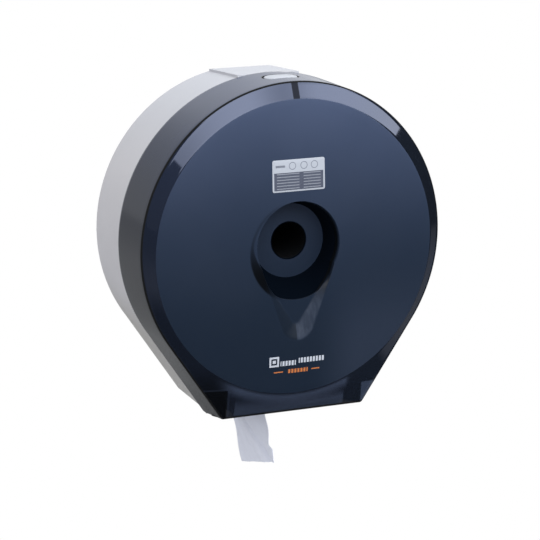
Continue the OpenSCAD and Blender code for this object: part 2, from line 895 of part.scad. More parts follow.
// Loose end of the paper: off the roll's left side, over the teeth and down
module paper_tail() {
    paper_t = 0.4;
    tip = [-teeth_half_gap + rest_gap + paper_t / 2 + 0.2, -chute_floor - strip_t / 2];
    centre = [0, -roll_hang];
    reach = norm(tip - centre);
    off = roll_r + rest_gap + paper_t / 2;
    bearing = atan2(tip[1] - centre[1], tip[0] - centre[0]) - acos(off / reach);
    start = centre + off * [cos(bearing), sin(bearing)];
    lead = tip + 4.5 * unit(start - tip) + [0.4, 0.4];
    fall = [0.235, -1];
    route = [
        start,
        (start + lead) / 2,
        lead,
        tip + [0.2, 0.4],
        tip + [1.2, -3.5],
        tip + [0.9, -3] + (tail_hang / 2) * fall,
        tip + [0.9, -3] + tail_hang * fall
    ];
    color("#eceef2") upright()
        difference() {
            translate([0, 0, roll_back]) linear_extrude(roll_w) polygon(band(route, paper_t));
            // The end is torn off on a slant, shorter at the front
            across(4 * drum_r)
                polygon([
                    [roll_back - cut, -chute_floor - tail_hang],
                    [roll_front + cut, -chute_floor - tail_hang + tail_slant],
                    [roll_front + cut, -4 * drum_r],
                    [roll_back - cut, -4 * drum_r]
                ]);
        }
}

rear_housing();
front_cover();
roll_spindle();
spindle_screws();
hinge_pin_left();
hinge_pin_right();
latch_button();
latch_spring();
latch_retainer();
latch_screws();
tear_strip_left();
tear_strip_right();
tear_strip_screws();
core_tube();
paper_roll();
paper_tail();
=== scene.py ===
"""Jumbo toilet roll dispenser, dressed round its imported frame.

Every sub-assembly is a class that holds its sizes in millimetres, works its
surfaces out as numpy arrays and gives them their finishes. The dispenser
faces -Y, stands along +Z, and its spindle lies on the Y axis.
"""

from __future__ import annotations

import json
import logging
import math
from dataclasses import dataclass, field
from enum import Enum, IntEnum
from typing import Any, Callable, Iterable

import bmesh
import bpy
import numpy as np
from mathutils import Matrix, Vector

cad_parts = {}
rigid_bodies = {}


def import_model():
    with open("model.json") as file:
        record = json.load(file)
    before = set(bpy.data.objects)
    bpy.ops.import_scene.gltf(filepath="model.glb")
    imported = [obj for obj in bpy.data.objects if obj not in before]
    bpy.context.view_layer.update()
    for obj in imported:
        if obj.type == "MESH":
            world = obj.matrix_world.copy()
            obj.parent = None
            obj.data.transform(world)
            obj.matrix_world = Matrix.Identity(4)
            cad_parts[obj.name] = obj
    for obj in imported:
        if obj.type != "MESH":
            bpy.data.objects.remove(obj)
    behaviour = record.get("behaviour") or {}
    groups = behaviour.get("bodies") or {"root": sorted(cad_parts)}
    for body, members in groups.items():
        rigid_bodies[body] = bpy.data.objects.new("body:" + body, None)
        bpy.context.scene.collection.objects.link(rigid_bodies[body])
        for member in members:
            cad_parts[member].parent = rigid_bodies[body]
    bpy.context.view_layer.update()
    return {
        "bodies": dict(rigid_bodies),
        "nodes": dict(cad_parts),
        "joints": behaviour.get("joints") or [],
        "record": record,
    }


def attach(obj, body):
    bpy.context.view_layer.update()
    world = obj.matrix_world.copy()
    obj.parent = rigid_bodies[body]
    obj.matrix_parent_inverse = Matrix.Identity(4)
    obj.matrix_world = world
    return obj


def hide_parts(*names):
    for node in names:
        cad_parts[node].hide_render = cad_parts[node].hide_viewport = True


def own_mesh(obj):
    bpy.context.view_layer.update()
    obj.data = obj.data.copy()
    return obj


log = logging.getLogger("dispenser")

MM = 0.001
# Points closer than this, in metres, become one
WELD = 2e-6

# The range of a ramp that falls in place of rising
FALL = (1.0, 0.0)
RAYS = ("Camera", "Glossy", "Transmission")
WHITE = (1.0, 1.0, 1.0, 1.0)
# Roughness added to the painted shade lines, so that they mirror nothing
DULL = 0.9
# Height in metres above which only the top of the drum lies
TOP_Z = 0.1
# Width and height of the label in millimetres
LABEL_SIZE = (47.0, 26.5)

Array = np.ndarray
Colour = tuple[float, float, float, float]
Box = tuple[float, float, float, float]
Pair = tuple[float, float]
Triple = tuple[float, float, float]


class Body(str, Enum):
    """The moving bodies of the dispenser."""

    ROOT = "root"
    COVER = "cover"
    LATCH = "latch"
    ROLL = "roll"


class Slot(str, Enum):
    """The material slots of the record."""

    HOUSING = "housing"
    COVER = "smoked_cover"
    SPINDLE = "spindle"
    FASTENER = "fastener"
    BUTTON = "button"
    SPRING = "spring"
    TEAR_STRIP = "tear_strip"
    CORE = "core_board"
    TISSUE = "tissue"


def srgb(red: float, green: float, blue: float) -> Colour:
    """Turns a display colour into the linear one that shaders take.

    Args:
        red: Red, from 0 to 255.
        green: Green, from 0 to 255.
        blue: Blue, from 0 to 255.

    Returns:
        Linear red, green and blue with an alpha of 1.
    """
    c = np.array([red, green, blue]) / 255
    linear = np.where(c <= 0.04045, c / 12.92, ((c + 0.055) / 1.055) ** 2.4)
    return (float(linear[0]), float(linear[1]), float(linear[2]), 1.0)


def ease(low: float, high: float, x: Array) -> Array:
    """Rises smoothly from 0 at low to 1 at high: 3t^2 - 2t^3.

    Args:
        low: Where the rise begins.
        high: Where it ends.
        x: The values to ease.

    Returns:
        One value from 0 to 1 for each of x.
    """
    t = np.clip((np.asarray(x, float) - low) / (high - low), 0, 1)
    return t * t * (3 - 2 * t)


# --------------------------------------------------------------------------
# Surfaces
# --------------------------------------------------------------------------


def blend(shares: Array, first: Array, last: Array) -> Array:
    """Rows that go from one row to another: (1 - share) first + share last.

    Args:
        shares: How far each new row has gone, from 0 to 1.
        first: The row at 0.
        last: The row at 1.

    Returns:
        One row for each share.
    """
    w = np.reshape(shares, (-1, 1))
    return (1 - w) * first + w * last


def steps(count: int) -> Array:
    """Even shares up to 1, without the 0."""
    return np.linspace(0, 1, count + 1)[1:]


def polar(radius: Any, turn: Array) -> Array:
    """Points (a, b) at distances from the origin and angles in radians."""
    return np.stack([radius * np.cos(turn), radius * np.sin(turn)], axis=-1)


def upright(flat: Array, y: Any) -> Array:
    """Stands flat points (x, z) up at a distance from the wall."""
    away = np.broadcast_to(-np.asarray(y), flat.shape[:-1])
    return np.stack([flat[..., 0], away, flat[..., 1]], axis=-1)


def prism(loop: Array, low: float, high: float) -> Array:
    """Carries a closed flat loop between two distances and shuts its ends.

    Args:
        loop: Points (x, z), the first repeated at the end.
        low: Distance of the first end.
        high: Distance of the last.

    Returns:
        Points of shape (4, n, 3): the middle, the loop twice, the middle.
    """
    grow = np.array([0.0, 1.0, 1.0, 0.0])[:, None, None]
    middle = loop[:-1].mean(0)
    away = np.array([low, low, high, high])[:, None]
    return upright(middle + grow * (loop - middle), away)


def stand(name: str, data: Any) -> bpy.types.Object:
    """Makes an object of a mesh, lamp or camera and adds it to the scene.

    Args:
        name: Name of the object.
        data: The mesh, lamp or camera.

    Returns:
        The new object, at the origin.
    """
    obj = bpy.data.objects.new(name, data)
    bpy.context.scene.collection.objects.link(obj)
    return obj


@dataclass
class Surface:
    """Grids of points, in millimetres, gathered into one mesh."""

    points: list[Array] = field(default_factory=list)
    faces: list[Array] = field(default_factory=list)
    uvs: list[Array] = field(default_factory=list)
    slots: list[Array] = field(default_factory=list)
    count: int = 0

    def grid(
        self,
        xyz: Array,
        keep: Array | None = None,
        slot: Array | int = 0,
        uv: Array | None = None,
        flip: bool = False,
    ) -> Surface:
        """Adds a grid of quads.

        Args:
            xyz: Points of shape (rows, columns, 3). A quad's outside is on the
                side of (along the columns) cross (along the rows).
            keep: Which cells to keep, of shape (rows - 1, columns - 1).
            slot: Material index of each cell, of each row of cells, or of all.
            uv: Coordinates of shape (rows, columns, 2).
            flip: Turns the faces over.

        Returns:
            The surface itself, so that calls chain.
        """
        rows, cols = xyz.shape[:2]
        ids = np.arange(rows * cols).reshape(rows, cols) + self.count
        quads = np.stack(
            [ids[:-1, :-1], ids[:-1, 1:], ids[1:, 1:], ids[1:, :-1]], axis=-1
        )
        index = np.asarray(slot)
        index = index[:, None] if index.ndim == 1 else index
        index = np.broadcast_to(index, (rows - 1, cols - 1))
        chosen = np.ones((rows - 1, cols - 1), bool) if keep is None else keep
        quads = quads[chosen]
        self.points.append(xyz.reshape(-1, 3))
        self.faces.append(quads[:, ::-1] if flip else quads)
        self.slots.append(index[chosen])
        if uv is None:
            v, u = np.meshgrid(
                np.linspace(0, 1, rows), np.linspace(0, 1, cols), indexing="ij"
            )
            uv = np.stack([u, v], axis=-1)
        self.uvs.append(uv.reshape(-1, 2))
        self.count += rows * cols
        return self

    def build(self, name: str, sharp: float = 35.0) -> bpy.types.Object:
        """Makes the mesh, welds its seams and poles and shades it smooth.

        Args:
            name: Name of the new object.
            sharp: Edges that turn by more degrees than this stay sharp.

        Returns:
            The new object, at the origin, with its place in its mesh.
        """
        points = np.concatenate(self.points) * MM
        faces = np.concatenate(self.faces)
        uvs = np.concatenate(self.uvs)
        mesh = bpy.data.meshes.new(name)
        mesh.from_pydata(points.tolist(), [], faces.tolist())
        layer = mesh.uv_layers.new(name="UVMap")
        layer.data.foreach_set("uv", uvs[faces.ravel()].ravel())
        mesh.polygons.foreach_set(
            "material_index", np.concatenate(self.slots).astype(np.int32)
        )
        weld(mesh)
        shade(mesh, sharp)
        return stand(name, mesh)


def weld(mesh: bpy.types.Mesh) -> None:
    """Merges points that coincide and drops faces that have no area.

    Args:
        mesh: The mesh to clean.
    """
    bm = bmesh.new()
    bm.from_mesh(mesh)
    bmesh.ops.remove_doubles(bm, verts=bm.verts, dist=WELD)
    bmesh.ops.dissolve_degenerate(bm, dist=WELD / 2, edges=bm.edges)
    bm.to_mesh(mesh)
    bm.free()


def shade(mesh: bpy.types.Mesh, sharp: float) -> None:
    """Shades a mesh smooth, with edges past an angle in degrees kept sharp.

    Args:
        mesh: The mesh to shade.
        sharp: Edges that turn by more degrees than this stay sharp.
    """
    mesh.shade_smooth()
    mesh.set_sharp_from_angle(angle=math.radians(sharp))
    mesh.update()


def revolve(
    profile: Iterable[Pair],
    centre: Triple = (0.0, 0.0, 0.0),
    columns: int = 96,
    axis: str = "y",
) -> Array:
    """Turns a profile about an axis: each row is a circle of one radius.

    Args:
        profile: Pairs of (radius, distance along the axis). Towards -Y, or
            towards +X, the outside of the turned shape lies on the right.
        centre: A point on the axis; its own place along it is added.
        columns: Number of columns of cells round the axis.
        axis: "y" for the spindle's direction or "x" for the hinge's.

    Returns:
        Points of shape (rows, columns + 1, 3) with the seam's column twice.
    """
    path = np.array(list(profile), float)
    turn = np.linspace(0, 2 * np.pi, columns + 1)
    radius = path[:, :1]
    along = np.broadcast_to(path[:, 1:], (len(path), columns + 1))
    a, b = radius * np.cos(turn), radius * np.sin(turn)
    xyz = (a, along, b) if axis == "y" else (along, -a, b)
    return np.stack(xyz, axis=-1) + np.array(centre)


def smooth_path(points: Array, step: float, rounds: int = 3) -> Array:
    """Lays points evenly along a broken line and rounds its corners.

    Args:
        points: Corners of the line, of shape (n, k).
        step: Distance between the new points.
        rounds: How many times each inner point moves to its neighbours' mean.

    Returns:
        The new points, with both ends kept.
    """
    lengths = np.r_[0, np.cumsum(np.linalg.norm(np.diff(points, axis=0), axis=1))]
    count = max(int(lengths[-1] / step), 4) + 1
    at = np.linspace(0, lengths[-1], count)
    line = np.stack(
        [np.interp(at, lengths, points[:, k]) for k in range(points.shape[1])], axis=1
    )
    for _ in range(rounds):
        line[1:-1] = (line[:-2] + 2 * line[1:-1] + line[2:]) / 4
    return line


def tube(path: Array, radius: float, sides: int = 10) -> Array:
    """Carries a circle along a path, square to it.

    Args:
        path: Points of shape (n, 3), with no part along Z alone.
        radius: Radius of the circle.
        sides: Number of columns round it.

    Returns:
        Points of shape (n, sides + 1, 3).
    """
    tangent = np.gradient(path, axis=0)
    tangent /= np.linalg.norm(tangent, axis=1, keepdims=True)
    side = np.cross(tangent, [0, 0, 1.0])
    side /= np.linalg.norm(side, axis=1, keepdims=True)
    up = np.cross(side, tangent)
    turn = np.linspace(0, 2 * np.pi, sides + 1)
    ring = side[:, None] * np.cos(turn)[:, None] + up[:, None] * np.sin(turn)[:, None]
    return path[:, None] + radius * ring


def end_caps(grid: Array) -> tuple[Array, Array]:
    """Closes both ends of a tube-like grid with fans to their centres.

    Args:
        grid: Points of shape (rows, columns, 3).

    Returns:
        Two grids of two rows each, for the first end and the last.
    """
    first, last = grid[0], grid[-1]
    start = np.stack([np.broadcast_to(first[:-1].mean(0), first.shape), first])
    finish = np.stack([last, np.broadcast_to(last[:-1].mean(0), last.shape)])
    return start, finish


def solidify(
    obj: bpy.types.Object, thickness: float, offset: float = -1.0, even: bool = True
) -> None:
    """Gives an open surface a wall.

    Args:
        obj: The piece.
        thickness: Wall thickness in millimetres.
        offset: -1 grows the wall inwards, 0 on both sides, 1 outwards.
        even: Keeps the wall's thickness round corners.
    """
    wall = obj.modifiers.new("wall", "SOLIDIFY")
    wall.thickness = thickness * MM
    wall.offset = offset
    wall.use_even_offset = even
    wall.use_rim = True


# --------------------------------------------------------------------------
# Shader sheets and shared effects
# --------------------------------------------------------------------------


def lays(operation: str) -> Callable[..., Wire]:
    """A method that lays a Math node with the wire as its first input."""
    return lambda wire, *others: wire.sheet.maths(operation, wire, *others)


@dataclass(frozen=True, eq=False)
class Wire:
    """An output on a shader's sheet; arithmetic on it lays Math nodes.

    The | of two wires is the larger one, and > and < give 1 or 0. The method
    near gives 1 where the wire is within a reach of a middle value.
    """

    sheet: Sheet
    socket: bpy.types.NodeSocket

    __add__ = __radd__ = lays("ADD")
    __mul__ = __rmul__ = lays("MULTIPLY")
    __sub__ = lays("SUBTRACT")
    __pow__ = lays("POWER")
    __or__ = lays("MAXIMUM")
    __gt__ = lays("GREATER_THAN")
    __lt__ = lays("LESS_THAN")
    __abs__ = lays("ABSOLUTE")
    root = lays("SQRT")
    fraction = lays("FRACT")
    near = lays("COMPARE")

    def __rsub__(self, other: float) -> Wire:
        """Takes the wire from a plain number."""
        return self.sheet.maths("SUBTRACT", other, self)

    def between(self, low: float, high: float) -> Wire:
        """1 between two values, 0 elsewhere."""
        return (self > low) * (self < high)

    def ramp(self, low: float, high: float, to: tuple[Any, Any] = (0.0, 1.0)) -> Wire:
        """Eases the value from one range into another.

        Args:
            low: Value that gives to[0].
            high: Value that gives to[1].
            to: The range put out.

        Returns:
            The eased value.
        """
        values = {0: self, 1: low, 2: high, 3: to[0], 4: to[1]}
        return self.sheet.get("MapRange", values, interpolation_type="SMOOTHSTEP")


@dataclass
class Sheet:
    """A node tree that nodes are laid into by name."""

    tree: bpy.types.NodeTree

    @classmethod
    def of(cls, owner: Any) -> Sheet:
        """The emptied node tree of a material, lamp or world.

        Args:
            owner: The material, lamp or world.

        Returns:
            A sheet over its empty tree.
        """
        owner.use_nodes = True
        owner.node_tree.nodes.clear()
        return cls(owner.node_tree)

    def put(self, kind: str, values: dict[Any, Any] | None = None, **options: Any) -> Any:
        """Adds a node.

        Args:
            kind: The node's type, without "ShaderNode".
            values: Input name or number to a value or a wire to link.
            options: Settings of the node itself.

        Returns:
            The new node.
        """
        node = self.tree.nodes.new("ShaderNode" + kind)
        for key, value in options.items():
            setattr(node, key, value)
        for key, value in (values or {}).items():
            if isinstance(value, Wire):
                self.tree.links.new(value.socket, node.inputs[key])
            else:
                node.inputs[key].default_value = value
        return node

    def get(
        self,
        kind: str,
        values: dict[Any, Any] | None = None,
        output: int | str = 0,
        **options: Any,
    ) -> Wire:
        """Adds a node as put does, and returns one of its outputs."""
        return Wire(self, self.put(kind, values, **options).outputs[output])

    def maths(self, operation: str, *values: Any, **options: Any) -> Wire:
        """Adds a Math node."""
        return self.get("Math", dict(enumerate(values)), operation=operation, **options)

    def hypot(self, a: Wire, b: Wire) -> Wire:
        """Length of a flat vector: the root of the squares' sum."""
        return (a * a + b * b).root()

    def mix(self, mask: Any, first: Any, second: Any) -> Wire:
        """Goes from one colour to another as the mask goes from 0 to 1."""
        return self.get("Mix", {0: mask, 6: first, 7: second}, 2, data_type="RGBA")

    def mix_value(self, mask: Any, first: Any, second: Any) -> Wire:
        """Goes from one number to another as the mask goes from 0 to 1."""
        return self.get("Mix", {0: mask, 2: first, 3: second}, data_type="FLOAT")

    def layers(self, base: Any, *layers: tuple[Any, Any]) -> Any:
        """Lays colours over a base, each one by its mask: (mask, colour).

        Args:
            base: The lowest colour.
            layers: A mask and a colour for each layer, from the lowest up.

        Returns:
            The topmost colour.
        """
        for mask, colour in layers:
            base = self.mix(mask, base, colour)
        return base

    def noise(self, place: Wire, scale: Any, detail: float) -> Wire:
        """Adds a Noise texture and returns its value."""
        return self.get("TexNoise", {"Vector": place, "Scale": scale, "Detail": detail})

    def stretch(
        self, place: Wire, scale: Triple, turn: Triple = (0.0, 0.0, 0.0)
    ) -> Wire:
        """Turns and stretches a place by a Mapping node."""
        return self.get("Mapping", {"Vector": place, "Rotation": turn, "Scale": scale})

    def spot(self) -> Wire:
        """The point's place in the object's own coordinates."""
        return self.get("TexCoord", output="Object")

    def split(self, vector: Wire) -> list[Wire]:
        """The three parts of a vector."""
        return [Wire(self, part) for part in self.put("SeparateXYZ", {0: vector}).outputs]

    def at(self) -> list[Wire]:
        """The point's own coordinates x, y and z, in metres."""
        return self.split(self.spot())

    def uv(self) -> list[Wire]:
        """The point's place on the piece's map, u and v."""
        return self.split(self.get("TexCoord", output="UV"))[:2]

    def rays(self) -> tuple[Wire, ...]:
        """Whether a ray comes from the camera, a gloss or a clear body."""
        path = self.put("LightPath").outputs
        return tuple(Wire(self, path[f"Is {kind} Ray"]) for kind in RAYS)

    def effect(self, name: str, **values: Any) -> Wire:
        """Places a shared effect over the piece, with its own values."""
        values["Place"] = self.spot()
        return self.get("Group", values, node_tree=bpy.data.node_groups[name])


def mould_grain(s: Sheet, place: Wire, scale: Wire) -> Wire:
    """Fine pebbled texture of a spark-eroded mould: noise over small cells."""
    cells = s.get("TexVoronoi", {"Vector": place, "Scale": scale * 1.7})
    return s.noise(place, scale, 2.0) + cells * 0.5


def handling(s: Sheet, place: Wire, scale: Wire, low: Wire, high: Wire) -> Wire:
    """Broad soft patches, as where hands and cloths have polished a moulding."""
    return s.noise(place, scale, 4.0).ramp(0.3, 0.7, (low, high))


def scuffs(s: Sheet, place: Wire, amount: Wire) -> Wire:
    """Sparse hairline scuffs: thin ridges of two long stretched noises.

    Args:
        s: The sheet to lay nodes on.
        place: The point's place.
        amount: The mask where a ridge is.

    Returns:
        The mask.
    """
    first, second = (
        s.noise(s.stretch(place, (900, 22, 22), (turn, turn / 3, turn)), 1.0, 1.0)
        for turn in (0.5, 2.1)
    )
    return (first.ramp(0.72, 0.8) | second.ramp(0.72, 0.8)) * amount


def crepe(s: Sheet, place: Wire, scale: Wire) -> Wire:
    """Tissue's crepe: short ripples across the web over a soft fibre noise."""
    ripple = s.noise(s.stretch(place, (170, 170, 900)), scale, 3.0)
    return ripple + s.noise(place, 2600.0, 2.0) * 0.4


def new_effect(recipe: Callable[..., Wire], output: str, **starts: float) -> None:
    """Makes a shared effect as a node group with the recipe's name.

    Args:
        recipe: Lays the nodes, given the sheet and a wire for each input.
        output: Name of the one output, a number that varies over the surface.
        starts: Name and starting value of each input after the place.
    """
    tree = bpy.data.node_groups.new(recipe.__name__, "ShaderNodeTree")
    sockets = [("Place", "INPUT", "Vector"), (output, "OUTPUT", "Float")]
    sockets[1:1] = [(key, "INPUT", "Float") for key in starts]
    for key, way, kind in sockets:
        made = tree.interface.new_socket(
            name=key, in_out=way, socket_type="NodeSocket" + kind
        )
        if key in starts:
            made.default_value = starts[key]
    sheet = Sheet(tree)
    entry, leave = (tree.nodes.new("NodeGroup" + end) for end in ("Input", "Output"))
    inputs = [Wire(sheet, entry.outputs[k]) for k in range(1 + len(starts))]
    tree.links.new(recipe(sheet, *inputs).socket, leave.inputs[0])


def build_effects() -> None:
    """Makes the shared effects: mould grain, handling marks, scuffs, crepe."""
    new_effect(mould_grain, "Height", Scale=900.0)
    new_effect(handling, "Value", Scale=12.0, Low=0.3, High=0.4)
    new_effect(scuffs, "Mask", Amount=0.5)
    new_effect(crepe, "Height", Scale=1.0)


# --------------------------------------------------------------------------
# Finishes; their lengths are in metres, as object coordinates are
# --------------------------------------------------------------------------


def dimmed(colour: Colour, share: float) -> Colour:
    """A colour with only a share of its light."""
    return (share * colour[0], share * colour[1], share * colour[2], 1.0)


@dataclass(frozen=True)
class Finish:
    """A procedural finish with the plain values of its shader.

    Attributes:
        name: Name of the material.
        colour: Base colour.
        roughness: The two ends of the roughness's patches.
        specular: Specular level.
        grain: Scale and depth of the relief; the depth is in millimetres.
        metallic: 1 for metal.
        scuff: Amount of hairline scuffs.
    """

    name: str
    colour: Colour
    roughness: Pair = (0.35, 0.45)
    specular: float = 0.5
    grain: Pair = (900.0, 0.01)
    metallic: float = 0.0
    scuff: float = 0.3

    def tint(self, s: Sheet) -> Wire:
        """The base colour: a slight drift in tone over the piece."""
        drift = s.effect("handling", Scale=9.0, Low=0.0, High=1.0)
        return s.mix(drift, dimmed(self.colour, 0.93), self.colour)

    def relief(self, s: Sheet) -> Wire:
        """The height that the surface's bump is made of."""
        return s.effect("mould_grain", Scale=self.grain[0])

    def polish(self, s: Sheet) -> Wire:
        """The roughness: soft patches with sparse scuffs in them.

        Args:
            s: The sheet to lay nodes on.

        Returns:
            The roughness.
        """
        smooth, rough = self.roughness
        patches = s.effect("handling", Scale=16.0, Low=smooth, High=rough)
        marks = s.effect("scuffs", Amount=self.scuff)
        return s.maths("ADD", patches, marks * 0.2, use_clamp=True)

    def extras(self, s: Sheet) -> dict[str, Any]:
        """Further inputs of the shader; the plain finish has none."""
        return {}

    def build(self) -> bpy.types.Material:
        """Makes the material, or returns it if it is there already.

        Returns:
            The material.
        """
        found = bpy.data.materials.get(self.name)
        if found:
            return found
        material = bpy.data.materials.new(self.name)
        s = Sheet.of(material)
        values = {
            "Base Color": self.tint(s),
            "Roughness": self.polish(s),
            "Metallic": self.metallic,
            "Specular IOR Level": self.specular,
            **self.extras(s),
        }
        depth = self.grain[1] * MM
        if depth > 0:
            bump = {"Height": self.relief(s), "Distance": depth, "Strength": 1.0}
            values["Normal"] = s.get("Bump", bump)
        s.put("OutputMaterial", {"Surface": s.get("BsdfPrincipled", values)})
        return material


@dataclass(frozen=True)
class PalePlastic(Finish):
    """Pale moulded plastic: palest at mid height, with painted shade at top and foot.

    Attributes:
        foot: Base colour of the painted shade at the foot, a little warm.
        top: Base colour of the painted shade at the top.
        foot_z: Heights between which the foot's painted shade ends.
        top_z: Heights between which the top's painted shade begins.
    """

    foot: Colour = srgb(187, 185, 182)
    top: Colour = srgb(187, 188, 194)
    foot_z: Pair = (-0.09, -0.03)
    top_z: Pair = (0.05, 0.12)

    def tint(self, s: Sheet) -> Wire:
        """Fades the painted shades of foot and top into the colour by height.

        Args:
            s: The sheet to lay nodes on.

        Returns:
            The base colour.
        """
        z = s.at()[2]
        low = s.mix(z.ramp(*self.foot_z), self.foot, super().tint(s))
        return s.mix(z.ramp(*self.top_z), low, self.top)


@dataclass(frozen=True)
class SmokedPlastic(Finish):
    """Smoked clear plastic: dark, painted lighter at its top, thinner to the eye towards
    its foot.

    Attributes:
        top: Base colour at the top of the cover, where painted light makes it lighter.
        foot_alpha: Opacity of the foot.
        fade: How quickly the top's colour fades downwards.
        reach: The cover's half height, over which the colours fade.
        foot_z: Heights between which the foot turns opaque.
    """

    top: Colour = (0.02, 0.02, 0.03, 1.0)
    foot_alpha: float = 1.0
    fade: float = 2.2
    reach: float = 0.13
    foot_z: Pair = (-0.130, -0.116)

    def tint(self, s: Sheet) -> Wire:
        """Paints light on the top: lightens from the foot's colour to the top's, slowly at
        first.

        Args:
            s: The sheet to lay nodes on.

        Returns:
            The base colour.
        """
        drift = s.effect("handling", Scale=7.0, Low=-0.008, High=0.008)
        height = s.at()[2] + drift
        share = s.get("MapRange", {0: height, 1: -self.reach, 2: self.reach})
        return s.mix(share**self.fade, self.colour, self.top)

    def extras(self, s: Sheet) -> dict[str, Any]:
        """Makes the foot see-through.

        Args:
            s: The sheet to lay nodes on.

        Returns:
            The opacity, or nothing for a cover that is opaque.
        """
        if self.foot_alpha == 1:
            return {}
        return {"Alpha": s.at()[2].ramp(*self.foot_z, (self.foot_alpha, 1.0))}


@dataclass(frozen=True)
class SmokedBand(SmokedPlastic):
    """The side band: painted shade at the rim and round the button, a painted highlight at
    the joint.

    Attributes:
        rim_y: Where the rim's painted shade line fades out.
        joint_y: Middle and half width of the painted highlight line by the housing.
        hole_y: Middle of the button's hole.
        hole_half: Half the straight part of the hole.
        hole_r: Where the painted shade ring round the hole fades out.
    """

    rim_y: Pair = (-0.1124, -0.1117)
    joint_y: Pair = (-0.0632, 0.0006)
    hole_y: float = -0.086
    hole_half: float = 0.0065
    hole_r: Pair = (0.0094, 0.0098)

    def seam(self, s: Sheet) -> Wire:
        """Mask of the painted shade lines, by the distance from the rim and the hole.

        Args:
            s: The sheet to lay nodes on.

        Returns:
            The mask.
        """
        x, y, z = s.at()
        away = s.hypot((abs(x) - self.hole_half) | 0.0, y - self.hole_y)
        return y.ramp(*self.rim_y, FALL) | away.ramp(*self.hole_r, FALL) * (z > TOP_Z)

    def tint(self, s: Sheet) -> Wire:
        """Draws the painted highlight and shade lines; the map's v marks the hole's edge,
        painted in shade.

        Args:
            s: The sheet to lay nodes on.

        Returns:
            The base colour.
        """
        # Painted highlight along the joint; painted shade at the rim, round the hole and on
        # its edge
        joint = s.at()[1].near(*self.joint_y) * 0.7
        return s.layers(
            super().tint(s),
            (joint, srgb(112, 114, 122)),
            (self.seam(s) | s.uv()[1], srgb(3, 4, 6)),
        )

    def polish(self, s: Sheet) -> Wire:
        """Dulls the painted shade lines."""
        return super().polish(s) + self.seam(s) * DULL


